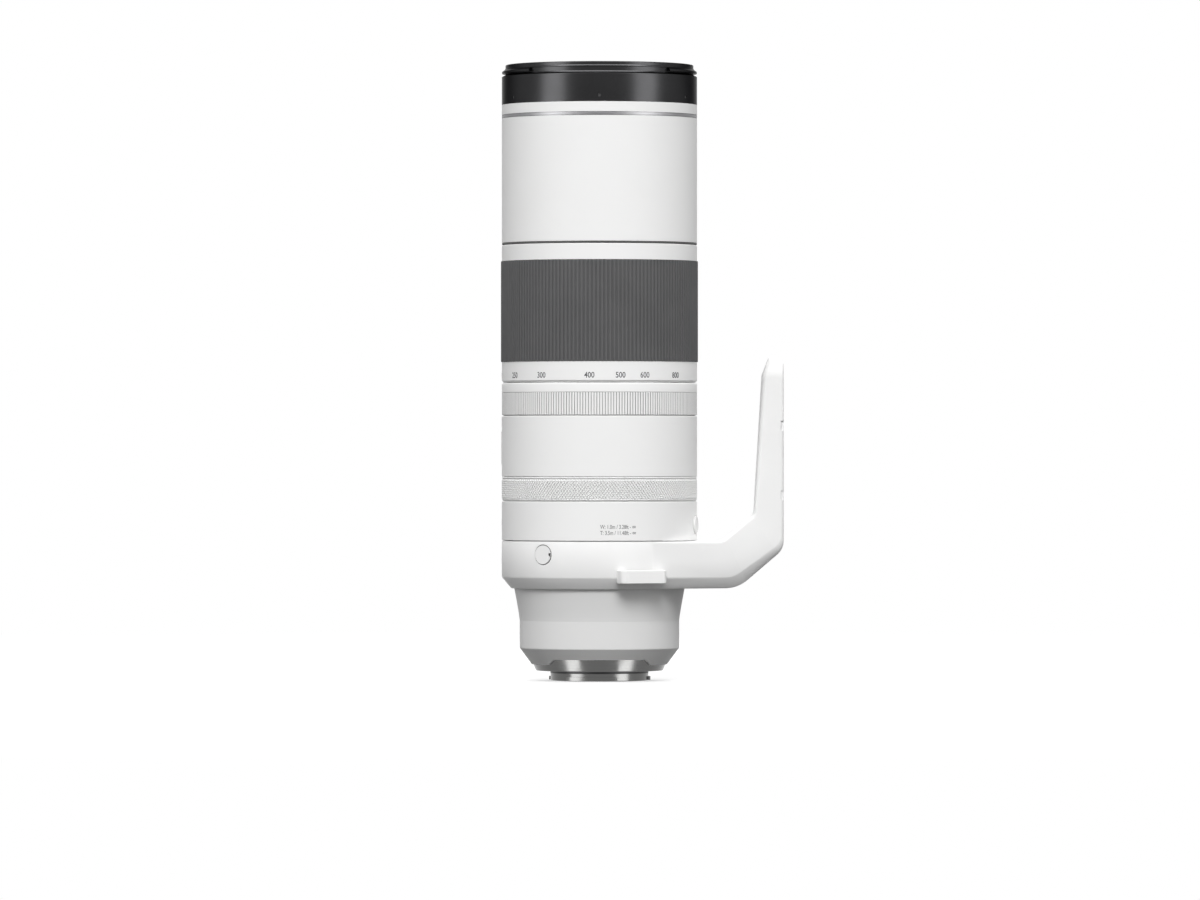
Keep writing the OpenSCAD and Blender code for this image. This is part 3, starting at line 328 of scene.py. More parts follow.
def turned_ring(profile, sides=256, start=0, sweep=360):
    """A closed [radius, height] outline turned about the axis, or part of the way with flat ends."""
    if sweep == 360:
        verts = [point for loop in turned_loops(profile, sides) for point in loop]
        return verts, ring_faces(len(profile), sides)
    return loft([[on_circle(radius, start + sweep * side / sides, height) for radius, height in profile]
                 for side in range(sides + 1)])


def corner_arc(before, corner, after, radius, steps):
    """Points of the round between the lines from before to corner and from corner to after."""
    back = (before - corner).normalized()
    onward = (after - corner).normalized()
    half = back.angle(onward) / 2
    if half > radians(89.9):
        return [corner + onward * radius * (step / steps - 0.5) for step in range(steps + 1)]
    centre = corner + (back + onward).normalized() * radius / sin(half)
    first = corner + back * radius / tan(half) - centre
    last = corner + onward * radius / tan(half) - centre
    turn = first.angle(last)
    return [centre + (first * sin(turn * (1 - step / steps)) + last * sin(turn * step / steps)) / sin(turn)
            for step in range(steps + 1)]


def softened(corners, steps=4):
    """Points round a closed [radius, height, rounding] outline."""
    places = [Vector(corner[:2]) for corner in corners]
    points = []
    for index, corner in enumerate(corners):
        if corner[2]:
            after = places[(index + 1) % len(places)]
            points += corner_arc(places[index - 1], places[index], after, corner[2], steps)
        else:
            points.append(places[index])
    return [tuple(point) for point in points]


# Booleans, on loose objects that are deleted once their mesh is done

def temporary(verts, faces):
    mesh = bpy.data.meshes.new("temporary")
    mesh.from_pydata(verts, [], faces)
    face_out(mesh)
    item = bpy.data.objects.new("temporary", mesh)
    bpy.context.scene.collection.objects.link(item)
    return item


def rod(radius, start, end, sides=48):
    """A round rod from start to end."""
    turn = (Vector(end) - Vector(start)).to_track_quat("Z", "Y")
    return temporary(*loft([[tuple(Vector(centre) + turn @ Vector(on_circle(radius, angle, 0)))
                             for angle in around(sides)] for centre in (start, end)]))


def combined(base, steps):
    """Mesh of base after each (operation, object) step."""
    for operation, item in steps:
        modifier = base.modifiers.new(operation.lower(), "BOOLEAN")
        modifier.operation = operation
        modifier.solver = "EXACT"
        modifier.object = item
    bpy.context.view_layer.update()
    mesh = bpy.data.meshes.new_from_object(base.evaluated_get(bpy.context.evaluated_depsgraph_get()))
    for item in [base] + [item for _, item in steps]:
        bpy.data.objects.remove(item)
    return mesh


def loose_mesh(item):
    mesh = item.data
    bpy.data.objects.remove(item)
    return mesh


# Rings with ridges or a pattern round them

def ridged_ring(name, rows, ridges, profile, slot, body, replaced):
    """Ring with upright ridges round it.

    rows are (radius in a groove, radius on a ridge, height), from inside low by the outside to inside high.
    profile is (share of the pitch, lift from 0 to 1) through one ridge.
    """
    pitch = 360 / ridges
    stops = [(pitch * (ridge + share), lift) for ridge in range(ridges) for share, lift in profile]
    verts = [on_circle(low + (high - low) * lift, angle, height)
             for low, high, height in rows for angle, lift in stops]
    return add_piece(name, verts, ring_faces(len(rows), len(stops)), slot, body, replaced, sharp=20)


# Zoom grip: rubber with flat ribs from end to end

def zoom_grip():
    low, high, crest = span("zoom_grip")
    groove = crest - 0.65 * MM
    inside = crest - 1.5 * MM
    soft = 0.25 * MM
    rows = [
        (inside, inside, low),
        (groove - 0.1 * MM, groove - 0.1 * MM, low),
        (groove, crest - soft, low + 0.05 * MM),
        (groove, crest - 0.3 * soft, low + 0.3 * soft),
        (groove, crest, low + soft),
        (groove, crest, high - soft),
        (groove, crest - 0.3 * soft, high - 0.3 * soft),
        (groove, crest - soft, high - 0.05 * MM),
        (groove - 0.1 * MM, groove - 0.1 * MM, high),
        (inside, inside, high),
    ]
    profile = [(0, 0), (0.30, 0), (0.36, 0.75), (0.43, 1), (0.87, 1), (0.94, 0.75)]
    ridged_ring("grip_rubber", rows, 152, profile, "grip_rubber", "zoom_ring", ["zoom_grip"])


def paint_groove_shade(piece, share, low, high, radius):
    """Painted shade: a darker copy of the white paint on the faces between two heights and inside a radius,
    for the grooves where little light reaches.
    """
    piece.data.materials.append(grained(piece.name + "_painted_groove_shade", shade(WHITE, share), 0.7, 0.16 * MM,
                                        0.003 * MM, 0.012, Specular_IOR_Level=0.1))
    for face in piece.data.polygons:
        if low < face.center.z < high and hypot(face.center.x, face.center.y) < radius:
            face.material_index = 1


# Tension ring: low ribs under a plain rounded band

def tension_ring():
    low, high, _ = span("tension_ring")
    rib_crest = BARREL_R - 0.05 * MM
    groove = BARREL_R - 0.75 * MM
    inside = BARREL_R - 1.2 * MM
    band = low + 12 * MM
    soft = 0.3 * MM
    crown = 0.8 * MM
    plain = [(inside, low), (groove - soft, low), (groove, low + soft)]
    rows = [(radius, radius, height) for radius, height in plain]
    rows += [
        (groove, rib_crest - 0.12 * MM, low + soft + 0.15 * MM),
        (groove, rib_crest, low + 2 * soft),
        (groove, rib_crest, band - soft),
        (groove, rib_crest - 0.12 * MM, band - 0.08 * MM),
    ]
    capped = [(groove, band), (BARREL_R - 0.2 * MM, band), (BARREL_R, band + 0.2 * MM)]
    capped += [(BARREL_R - crown * (1 - cos(radians(step))), high - crown * (1 - sin(radians(step))))
               for step in (0, 22.5, 45, 67.5, 90)]
    capped += [(inside, high)]
    rows += [(radius, radius, height) for radius, height in capped]
    profile = [(0, 0), (0.17, 0), (0.24, 1), (0.93, 1)]
    piece = ridged_ring("tension_ribs", rows, 220, profile, "white_shell", "tension_ring", ["tension_ring"])
    # Painted shade in the grooves between the ribs
    paint_groove_shade(piece, 0.64, low + soft, band, rib_crest - 0.2 * MM)


# Focus ring: rows of small diamonds with flat tops between crossing grooves

def focus_ring():
    low, high, radius = span("focus_ring")
    inside = BARREL_R - 1.2 * MM
    across, half_rows = 196, 10
    lift = 0.56 * MM
    edge = 0.95 * MM
    chamfer = 0.9 * MM
    top_share = 0.6
    step_a = 180 / across
    step_z = (high - low - 2 * edge) / half_rows
    verts, faces, crossings = [], [], {}

    def spot(column, row, rise):
        verts.append(on_circle(radius - lift + rise, column * step_a, low + edge + row * step_z))
        return len(verts) - 1

    def crossing(column, row):
        """The grooves' crossing at that column and row, which the diamonds round it share."""
        key = (column % (2 * across), row)
        if key not in crossings:
            crossings[key] = spot(*key, 0)
        return crossings[key]

    for row in range(half_rows + 1):
        for column in range(row % 2, 2 * across, 2):
            left, right = crossing(column - 1, row), crossing(column + 1, row)
            if row == 0:
                faces.append((left, right, crossing(column, 1)))
                continue
            if row == half_rows:
                faces.append((left, crossing(column, row - 1), right))
                continue

            rim = (left, crossing(column, row - 1), right, crossing(column, row + 1))
            top = (spot(column - top_share, row, lift), spot(column, row - top_share, lift),
                   spot(column + top_share, row, lift), spot(column, row + top_share, lift))
            faces.append(top)
            for side in range(4):
                after = (side + 1) % 4
                faces.append((rim[side], rim[after], top[after], top[side]))

    odd = range(1, 2 * across, 2)
    loops = [[crossing(column, 0) for column in odd]]
    body = [(radius, low + 0.9 * edge), (radius - chamfer, low), (inside, low),
            (inside, high), (radius - 0.5 * chamfer, high), (radius, high - 0.5 * edge)]
    for loop_r, height in body:
        loops.append(list(range(len(verts), len(verts) + across)))
        verts += [on_circle(loop_r, column * step_a, height) for column in odd]
    loops.append([crossing(column, half_rows) for column in odd])
    for first, second in zip(loops, loops[1:]):
        faces += [(first[index], first[(index + 1) % across], second[(index + 1) % across], second[index])
                  for index in range(across)]
    piece = add_piece("focus_knurl", verts, faces, "white_shell", "focus_ring", ["focus_ring"], sharp=25)
    # Painted shade, lighter than the ribs', on the diamonds' sloped sides
    paint_groove_shade(piece, 0.93, low + edge, high - edge, radius - 0.1 * MM)


# Tripod collar with its arm and foot: one casting, softly rounded

def outline(corners, steps):
    """Points along [x, z, radius] corners, whose first and last stay sharp."""
    places = [Vector(corner[:2]) for corner in corners]
    points = [places[0]]
    for index in range(1, len(corners) - 1):
        points += corner_arc(places[index - 1], places[index], places[index + 1], corners[index][2], steps)
    return points + [places[-1]]


def rounded_edge(deep, tall, power, steps):
    """(in from the side, in from the face) round an edge: power 2 is an ellipse, nearer 1 a soft chamfer."""
    points = []
    for step in range(steps + 1):
        angle = radians(90 * step / steps)
        points.append((deep * (1 - sin(angle) ** (2 / power)), tall * (1 - cos(angle) ** (2 / power))))
    return points


def arm_section(inner, outer, half_width, under, under_power, over):
    """Loop of points across the arm, from the middle of its outer face round its inner face and back."""
    thick = (inner - outer).length
    under = min(under, 0.35 * thick)
    under_tall = under * BEVEL_HIGH / BEVEL_IN
    over = min(over, 0.45 * thick)
    half = [(share, under, 0) for share in (0, 0.5)]
    half += [(1, inset, rise) for inset, rise in rounded_edge(under, under_tall, under_power, 8)]
    half.append((1, 0, (under_tall + thick - over) / 2))
    half += [(1, inset, thick - rise) for inset, rise in reversed(rounded_edge(over, over, 2, 8))]
    half += [(share, over, thick) for share in (0.5, 0)]
    loop = []
    for side in (1, -1):
        for share, inset, rise in half if side == 1 else half[-2:0:-1]:
            at = outer + (inner - outer) * (rise / thick if thick else 0)
            loop.append((at.x, side * share * (half_width(at) - inset), at.y))
    return loop


def tripod_collar():
    low, high = COLLAR_LOW, COLLAR_LOW + 24.6 * MM
    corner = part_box("tripod_collar")[1]
    foot_x, foot_top = corner.x, corner.z
    foot_half, foot_thick = 16 * MM, 15.3 * MM
    arm_r = BARREL_R - 0.35 * MM
    inner_x = foot_x - foot_thick
    side_az = atan2(foot_half, inner_x) + acos(arm_r / sqrt(inner_x ** 2 + foot_half ** 2))
    start_x = arm_r * cos(side_az)
    blend = 2.9 * MM
    taper_z = foot_top - 11.5 * MM
    taper = tan(radians(20))
    tip_round = 4 * MM

    def half_width(at):
        """Half of the arm's width at that x and z. It narrows to the foot, and the foot to its tip."""
        wide = max((arm_r - at.x * cos(side_az)) / sin(side_az), foot_half)
        if at.x > inner_x - 3 * MM and wide < foot_half + 1.5 * MM:
            wide = foot_half + max(0, inner_x + blend - at.x) ** 2 / (4 * blend) * 0.45
        if at.y > taper_z:
            wide -= (at.y - taper_z) ** 2 / (2 * (foot_top - taper_z)) * taper * 2
        above = at.y - (foot_top - tip_round)
        if above > 0:
            wide -= tip_round - sqrt(max(tip_round ** 2 - above ** 2, 0))
        return wide

    # A little under the ring's top, so that no face of the arm lies in the plane of that top
    arm_high = high - 0.02 * MM
    inner = outline([(start_x, arm_high), (63.8 * MM, arm_high, 6 * MM), (inner_x, high + 13.9 * MM, 5 * MM),
                     (84.4 * MM, foot_top - 9.4 * MM, 10 * MM), (88.0 * MM, foot_top, 2.6 * MM),
                     (90.3 * MM, foot_top)], 8)
    outer = outline([(start_x, low + 0.2 * MM), (71.75 * MM, low + 0.2 * MM, 18 * MM),
                     (foot_x, low + 20.4 * MM, 9.5 * MM), (foot_x, foot_top - 9.4 * MM, 6 * MM),
                     (foot_x, foot_top, 4.8 * MM), (90.4 * MM, foot_top)], 8)

    # The last points only give the rounds their direction: the foot ends in one flat face before them
    sections = []
    for over_at, under_at in zip(inner[:-1], outer[:-1]):
        climb = min(max((under_at.y - low - 4 * MM) / (30 * MM), 0), 1)
        rise = min(max((over_at.y - high) / (40 * MM), 0), 1)
        under = BEVEL_IN + (1.6 * MM - BEVEL_IN) * climb ** 2 * (3 - 2 * climb)
        over = 1.3 * MM + 2.1 * MM * rise
        sections.append(arm_section(over_at, under_at, half_width, under, 1.12 + 0.88 * climb, over))
    arm = temporary(*loft(sections))

    soft = 0.5 * MM
    ring_profile = [(BARREL_R - BEVEL_IN - soft, low), (BARREL_R - BEVEL_IN, low + 0.2 * MM),
                    (BARREL_R - soft * 0.6, low + BEVEL_HIGH - soft * 0.8),
                    (BARREL_R, low + BEVEL_HIGH + 0.4 * MM), (BARREL_R, high - soft),
                    (BARREL_R - 0.15 * MM, high - 0.15 * MM), (BARREL_R - soft, high)]
    ring = temporary(*loft(turned_loops(ring_profile, 192)))
    knob_z = low + 12.3 * MM
    cap_z = high - 6.8 * MM
    boss_r = BARREL_R + 2.5 * MM
    neck_r, bore_r = 44.35 * MM, 47.0 * MM
    steps = [
        ("UNION", arm),
        ("UNION", rod(8 * MM, radial(45 * MM, KNOB_AZ, knob_z), radial(boss_r, KNOB_AZ, knob_z))),
        ("DIFFERENCE", rod(3.1 * MM, radial(40 * MM, KNOB_AZ, knob_z), radial(60 * MM, KNOB_AZ, knob_z))),
        ("DIFFERENCE", rod(neck_r, (0, 0, low - MM), (0, 0, low + 5 * MM), 192)),
        ("DIFFERENCE", rod(bore_r, (0, 0, low + 4 * MM), (0, 0, high + MM), 192)),
    ]
    for azimuth in CAP_AZ:
        steps.append(("DIFFERENCE", rod(CAP_HOLE_R, radial(BARREL_R - 1.2 * MM, azimuth, cap_z),
                                        radial(BARREL_R + 2 * MM, azimuth, cap_z))))
    for height, bush_r in BUSHES:
        hole_r = bush_r + 0.1 * MM
        steps.append(("DIFFERENCE", rod(hole_r, (foot_x - 11 * MM, 0, height), (foot_x + MM, 0, height))))
        for side in (-1, 1):
            notch = [(foot_x, side * foot_half, height + rise) for rise in (-2.5 * MM, 2.5 * MM)]
            steps.append(("DIFFERENCE", rod(1.6 * MM, *notch, 24)))
    finish_piece("collar_casting", combined(ring, steps), "white_cast", "collar", ["tripod_collar"], sharp=28)


# Dark rings in the gaps round the collar's caps, with a dark disc as the floor of each cap's coin notch:
# painted shade in those gaps and notches

def cap_painted_shade():
    low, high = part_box("collar_caps")
    height = (low.z + high.z) / 2
    gap_in, gap_out = CAP_R + 0.02 * MM, CAP_HOLE_R - 0.02 * MM
    deep, shallow = 1.1 * MM, 0.14 * MM
    notch_at, notch_r = CAP_R - 0.6 * MM, 0.95 * MM
    verts, faces = [], []

    def bent_loops(azimuth, across, profile, sides):
        """Loops round a spot on the collar at each [radius, depth under the barrel's skin]."""
        loops = []
        for radius, depth in profile:
            skin = BARREL_R - depth
            loops.append([on_circle(skin, azimuth + degrees((across + radius * cos(radians(turn))) / skin),
                                    height + radius * sin(radians(turn))) for turn in around(sides)])
        return loops

    for azimuth in CAP_AZ:
        profile = [(gap_in, deep), (gap_in, shallow), (gap_out, shallow), (gap_out, deep)]
        ring = bent_loops(azimuth, 0, profile, 72)
        append_shape(verts, faces, [point for loop in ring for point in loop], ring_faces(4, 72))
        disc = bent_loops(azimuth, notch_at, [(notch_r, 0.55 * MM), (notch_r, 0.4 * MM)], 32)
        append_shape(verts, faces, *loft(disc))
    add_piece("cap_painted_shade", verts, faces, "seal_rubber", "collar")


# Trim ring: polished, with a fine groove along each edge

def trim_band():
    low, high, radius = span("trim_ring")
    crown = radius - 0.02 * MM
    floor_r = crown - 0.45 * MM
    groove, soft = 0.4 * MM, 0.1 * MM
    inside = radius - 1.8 * MM
    profile = softened([(inside, low, 0), (floor_r, low, 0), (floor_r, low + groove, 0),
                        (crown, low + groove, soft), (crown, high - groove, soft),
                        (floor_r, high - groove, 0), (floor_r, high, 0), (inside, high, 0)])
    add_piece("trim_band", *turned_ring(profile), "trim_silver", "front_group", ["trim_ring"])


# Dark rubber ring under the front barrel, where it meets the zoom ring: painted shade for the gap between
# them

def front_gap_shade():
    low, _, radius = span("front_barrel")
    inside, skin = radius - 1.4 * MM, radius - 0.1 * MM
    shade_ring_outline = [(inside, low), (skin, low), (skin, low + 0.8 * MM), (radius - 0.2 * MM, low + 0.85 * MM),
           (inside, low + 0.4 * MM)]
    add_piece("front_gap_shade", *turned_ring(shade_ring_outline), "seal_rubber", "front_group")


# Dark ring round the bayonet's root: painted shade under the mount's flange

def bayonet_painted_shade():
    radius = BAYONET_R + 0.04 * MM
    inside = radius - 0.4 * MM
    low, high = -1.3 * MM, -0.05 * MM
    profile = [(inside, low), (radius, low), (radius, high), (inside, high)]
    add_piece("bayonet_painted_shade", *turned_ring(profile), "black_metal", "barrel")


def mount_index():
    """Red dot in the blind hole of the mount's face, against which a camera's mark is set."""
    dot = rod(1.55 * MM, *[radial(29.3 * MM, 200, height) for height in (0.3 * MM, 2.8 * MM)])
    finish_piece("mount_index", loose_mesh(dot), "white_metal", "barrel", material=red_ink)


# Lock knob: twelve finger flutes over a plain foot, a rounded rim and a fine groove round its face

def clamp_knob():
    low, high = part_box("lock_knob")
    height = (low.z + high.z) / 2
    radius = (high.z - low.z) / 2
    tall, foot, rim = 10 * MM, 2 * MM, 0.9 * MM
    shaft_r, groove = 2.9 * MM, 0.3 * MM
    start = high.y - tall
    flutes, flute_r = 12, 1.8 * MM
    flute_at = radius + flute_r / 2
    turns = around(flutes * 24)

    def fluted(angle, inset):
        """Distance of the fluted side from the knob's axis, moved in by inset."""
        turn = (angle + 180 / flutes) % (360 / flutes) - 180 / flutes
        across = flute_at * sin(radians(turn))
        if abs(across) >= flute_r + inset:
            return radius - inset
        return min(radius - inset, flute_at * cos(radians(turn)) - sqrt((flute_r + inset) ** 2 - across ** 2))

    plain = [(shaft_r, low.y), (shaft_r, start), (radius - 0.4 * MM, start), (radius, start + 0.4 * MM),
             (radius, start + foot - 0.3 * MM), (radius - 0.3 * MM, start + foot)]
    loops = [[(reach, turn, along) for turn in turns] for reach, along in plain]
    side = [(0.0, start + foot)]
    side += [(rim * (1 - cos(radians(step))), high.y - rim * (1 - sin(radians(step))))
             for step in (0, 18, 36, 54, 72, 90)]
    loops += [[(fluted(turn, inset), turn, along) for turn in turns] for inset, along in side]
    face = [(6.4 * MM, high.y), (6.3 * MM, high.y - groove), (5.8 * MM, high.y - groove),
            (5.7 * MM, high.y), (0.4 * MM, high.y)]
    loops += [[(reach, turn, along) for turn in turns] for reach, along in face]
    verts, faces = loft([[(reach * cos(radians(turn)), along, height + reach * sin(radians(turn)))
                          for reach, turn, along in loop] for loop in loops])
    add_piece("clamp_knob", verts, faces, "knob_black", "lock_knob", ["lock_knob"], sharp=40)


# Outer lenses, finely curved

def lenses(name, node, slot, body, elements):
    """Glass elements round the axis, each (radius, height of its rim below and above, bulge of each face)."""
    sides, steps = 160, 20
    verts, faces = [], []
    for radius, low, high, low_sag, high_sag in elements:
        shares = [0.002 + 0.998 * step / steps for step in range(steps + 1)]
        profile = [(radius * share, low + low_sag * (1 - share ** 2)) for share in shares]
        profile += [(radius * share, high + high_sag * (1 - share ** 2)) for share in reversed(shares)]
        append_shape(verts, faces, *loft(turned_loops(profile, sides)))
    add_piece(name, verts, faces, slot, body, [node], sharp=30)


def outer_lenses():
    low, high, radius = span("front_lenses")
    lenses("front_elements", "front_lenses", "front_glass", "front_group",
           [(radius, high - 9 * MM, high - 6 * MM, -1.8 * MM, 6 * MM),
            (radius - 4.45 * MM, low + 1.2 * MM, low + 6.2 * MM, -1.2 * MM, 4 * MM)])
    low, high, radius = span("rear_lenses")
    lenses("rear_elements", "rear_lenses", "lens_glass", "barrel",
           [(radius, low + 1.6 * MM, low + 6.6 * MM, -1.6 * MM, -2.2 * MM),
            (radius, high - 6.6 * MM, high - 2.6 * MM, 1.8 * MM, 2.6 * MM)])


# Tripod bushes: steel, with the thread cut inside

def threaded_bushes():
    low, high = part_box("tripod_bushes")
    depth = high.x - low.x
    sides, chamfer, pitch = 96, 0.5 * MM, 1.1 * MM
    verts, faces = [], []
    for height, outer in BUSHES:
        bore = outer - 2.2 * MM
        profile = [(outer, 0), (outer, depth - 0.2 * MM), (outer - 0.2 * MM, depth), (bore + chamfer, depth)]
        crest = depth - chamfer
        while crest > 1.5 * MM + pitch:
            profile += [(bore, crest), (bore, crest - 0.15 * MM), (bore + 0.5 * MM, crest - pitch * 0.55)]
            crest -= pitch
        profile += [(bore, crest), (bore, MM)]
        upright, bush_faces = loft(turned_loops(profile, sides))
        bush = [(low.x + along, across, height + up) for up, across, along in upright]
        append_shape(verts, faces, bush, bush_faces)
    add_piece("bush_threads", verts, faces, "screw_steel", "collar", ["tripod_bushes"], sharp=20)


# Numbers and marks

CAPITAL_SHARE = 0.70


def flat_text(words, tall, wide, heavy=0.0):
    """Words whose capitals have that height, from x 0 to the right and thin along z.

    wide stretches them and heavy thickens their strokes, as a share of the letters' size.
    """
    curve = bpy.data.curves.new("words", "FONT")
    curve.body = words
    curve.size = tall / CAPITAL_SHARE
    curve.extrude = PRINT_THICK / 2
    curve.resolution_u = 4
    curve.offset = heavy * curve.size
    holder = bpy.data.objects.new("words", curve)
    bpy.context.scene.collection.objects.link(holder)
    bpy.context.view_layer.update()
    mesh = bpy.data.meshes.new_from_object(holder)
    bpy.data.objects.remove(holder)
    for vertex in mesh.vertices:
        vertex.co.x *= wide
    return mesh


def wrap(mesh, radius, angle, height, centred=True):
    """Bends a flat mesh round the barrel: x runs round it and y runs up."""
    left = min(vertex.co.x for vertex in mesh.vertices)
    right = max(vertex.co.x for vertex in mesh.vertices)
    middle = (left + right) / 2 if centred else left
    for vertex in mesh.vertices:
        turn = degrees((vertex.co.x - middle) / radius)
        vertex.co = on_circle(radius + vertex.co.z, angle + turn, height + vertex.co.y)
    return mesh


def joined(name, meshes, slot, body, material=None):
    """One piece made of several meshes."""
    verts, faces = [], []
    for mesh in meshes:
        append_shape(verts, faces, [tuple(vertex.co) for vertex in mesh.vertices],
                     [polygon.vertices for polygon in mesh.polygons])
        bpy.data.meshes.remove(mesh)
    return add_piece(name, verts, faces, slot, body, material=material)


def focal_scale():
    tall = 2.9 * MM
    centre = span("zoom_ring")[0] + 3.7 * MM
    stops = {"200": -90, "250": -59.5, "300": -36.1, "400": -5.9, "500": 12.4, "600": 27.5, "800": 50.7}
    meshes = [wrap(flat_text(number, tall, 0.86, 0.012), BARREL_R, FRONT_AZ + turn, centre - tall / 2)
              for number, turn in stops.items()]
    joined("focal_scale", meshes, "white_shell", "zoom_ring", print_ink)


def flat_bar(wide, tall):
    """Thin upright bar from x 0 and y 0, to be bent round the barrel."""
    mesh = bpy.data.meshes.new("bar")
    corners = ((0, 0), (wide, 0), (wide, tall), (0, tall))
    verts, faces = loft([[(x, y, z) for x, y in corners] for z in (-PRINT_THICK / 2, PRINT_THICK / 2)])
    mesh.from_pydata(verts, [], faces)
    return mesh


def index_lines():
    """Marks on the lens's top side: one on the collar, one above it, and one for the focal scale."""
    low = span("rear_barrel")[0]

    def bar(tall, height):
        return wrap(flat_bar(0.9 * MM, tall), BARREL_R, TOP_AZ, height)

    joined("collar_index", [bar(5.1 * MM, low - 12.4 * MM)], "white_shell", "collar", print_ink)
    bars = [bar(3.1 * MM, low + 7.9 * MM), bar(4.6 * MM, span("tension_ring")[0] - 5.4 * MM)]
    joined("barrel_index", bars, "white_shell", "barrel", print_ink)


def switch_labels():
    tall = 1.7 * MM
    panel_r = BARREL_R + 0.7 * MM
    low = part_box("switch_panel")[0].z
    words = {"MF": (130.8, 5.0), "AF": (130.8, 9.6), "OFF": (148.4, 5.0), "ON": (148.4, 9.6)}
    meshes = [wrap(flat_text(word, tall, 0.9), panel_r, azimuth, low + rise * MM)
              for word, (azimuth, rise) in words.items()]
    joined("switch_labels", meshes, "white_shell", "barrel", print_ink)


def distance_marks():
    tall = 2.1 * MM
    low = span("rear_barrel")[0]
    lines = {"W: 1.0m / 3.28ft - ∞": 6.3 * MM, "T: 3.5m / 11.48ft - ∞": 3.2 * MM}
    meshes = [wrap(flat_text(words, tall, 0.74), BARREL_R, FRONT_AZ + 0.4, low + rise, centred=False)
              for words, rise in lines.items()]
    joined("distance_marks", meshes, "white_shell", "barrel", print_ink)


# Filter ring: black, with the hood's two lugs, six small marks and a fine thread inside

def filter_ring():
    low, top, radius = span("filter_ring")
    hood = top - 6 * MM
    neck = radius - 1.9 * MM
    thread_r, thread_len, turns = radius - 3.7 * MM, 4.9 * MM, 7
    thread_top = top - 0.6 * MM
    relief_r = thread_r + 0.5 * MM
    bore, ledge, ledge_thick = radius - 4.2 * MM, top - 8.2 * MM, 1.2 * MM
    bead = 0.25 * MM
    corners = [(radius - 2 * MM, low, 0), (radius, low, 0.12 * MM), (radius, hood - 0.1 * MM, 0.3 * MM),
               (neck + 0.3 * MM, hood + 0.6 * MM, 0.1 * MM), (neck, hood + 1.2 * MM, 0.1 * MM),
               (neck, hood + 3.3 * MM, 0), (neck + bead, hood + 3.5 * MM, 0.06 * MM),
               (neck + bead, hood + 3.8 * MM, 0.1 * MM), (neck, hood + 4.3 * MM, 0.1 * MM),
               (neck, top, 0.45 * MM), (relief_r + 0.1 * MM, top, 0.1 * MM)]
    profile = softened(corners)
    pitch = thread_len / turns
    for turn in range(turns):
        crest = thread_top - pitch * (turn + 0.5)
        profile += [(relief_r, crest + pitch / 2), (thread_r, crest + pitch / 10),
                    (thread_r, crest - pitch / 10)]
    profile += [(relief_r, thread_top - thread_len), (relief_r, ledge), (bore, ledge),
                (bore, ledge - ledge_thick), (radius - 2 * MM, ledge - ledge_thick)]
    ring = temporary(*turned_ring(profile))
    lug = softened([(neck - 0.3 * MM, hood + 1.5 * MM, 0), (radius - 0.1 * MM, hood + 1.5 * MM, 0.15 * MM),
                    (radius - 0.1 * MM, hood + 2.5 * MM, 0.3 * MM), (neck - 0.3 * MM, hood + 4 * MM, 0)])
    steps = [("UNION", temporary(*turned_ring(lug, 48, azimuth - 44, 88))) for azimuth in (0, 180)]

    def mark(azimuth, wide, start, end):
        """A rod of that radius into the ring's side, from start to end outwards of its skin."""
        ends = [radial(radius + reach, azimuth, low + 3.2 * MM) for reach in (start, end)]
        return rod(wide, *ends, 32)

    marks = [FRONT_AZ + turn for turn in (0, 61.7, 118.3, 180, 241.7, 298.3)]
    steps += [("DIFFERENCE", mark(azimuth, 0.85 * MM, -0.4 * MM, MM)) for azimuth in marks]
    # Dark discs at the bottom of the six marks: painted shade in those small hollows
    mark_shades = [mark(azimuth, 0.8 * MM, -0.5 * MM, -0.3 * MM) for azimuth in marks]
    finish_piece("hood_ring", combined(ring, steps), "black_ring", "front_group", ["filter_ring"], sharp=35)
    joined("hood_mark_shade", [loose_mesh(dot) for dot in mark_shades], "black_plastic", "front_group")


def soften(node, width):
    """Rounds the hard edges of a CAD node by a fine bevel."""
    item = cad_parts[node]
    weld = item.modifiers.new("weld", "WELD")
    weld.merge_threshold = 0.001 * MM
    bevel = item.modifiers.new("edge", "BEVEL")
    bevel.width = width
    bevel.segments = 3
    bevel.limit_method = "ANGLE"
    bevel.angle_limit = radians(32)
    bevel.use_clamp_overlap = True
    item.modifiers.new("shading", "WEIGHTED_NORMAL").keep_sharp = False


zoom_grip()
tension_ring()
focus_ring()
tripod_collar()
filter_ring()
cap_painted_shade()
trim_band()
front_gap_shade()
bayonet_painted_shade()
mount_index()
clamp_knob()
outer_lenses()
threaded_bushes()
focal_scale()
distance_marks()
index_lines()
switch_labels()
soften("strap_lugs", 0.6 * MM)
soften("switch_panel", 0.2 * MM)
soften("focus_switch", 0.3 * MM)
soften("stabilizer_switch", 0.3 * MM)


# Studio: pale floor, soft lamps, and a long lens at the height of the photograph's horizon

PHOTO_W = 1200
AXIS_X = 599.45
HORIZON_HEIGHT = 114.4 * MM
PIXELS_PER_METRE = 1925.5
FOCAL_MM, SENSOR_MM = 240, 36


def add_camera():
    lens = bpy.data.cameras.new("photo_camera")
    lens.lens = FOCAL_MM
    lens.sensor_width = SENSOR_MM
    lens.clip_end = 60
    camera = bpy.data.objects.new("photo_camera", lens)
    bpy.context.scene.collection.objects.link(camera)
    distance = FOCAL_MM / SENSOR_MM * PHOTO_W / PIXELS_PER_METRE
    camera.location = ((PHOTO_W / 2 - AXIS_X) / PIXELS_PER_METRE, -distance, HORIZON_HEIGHT)
    camera.rotation_euler = (radians(90), 0, 0)
    bpy.context.scene.camera = camera


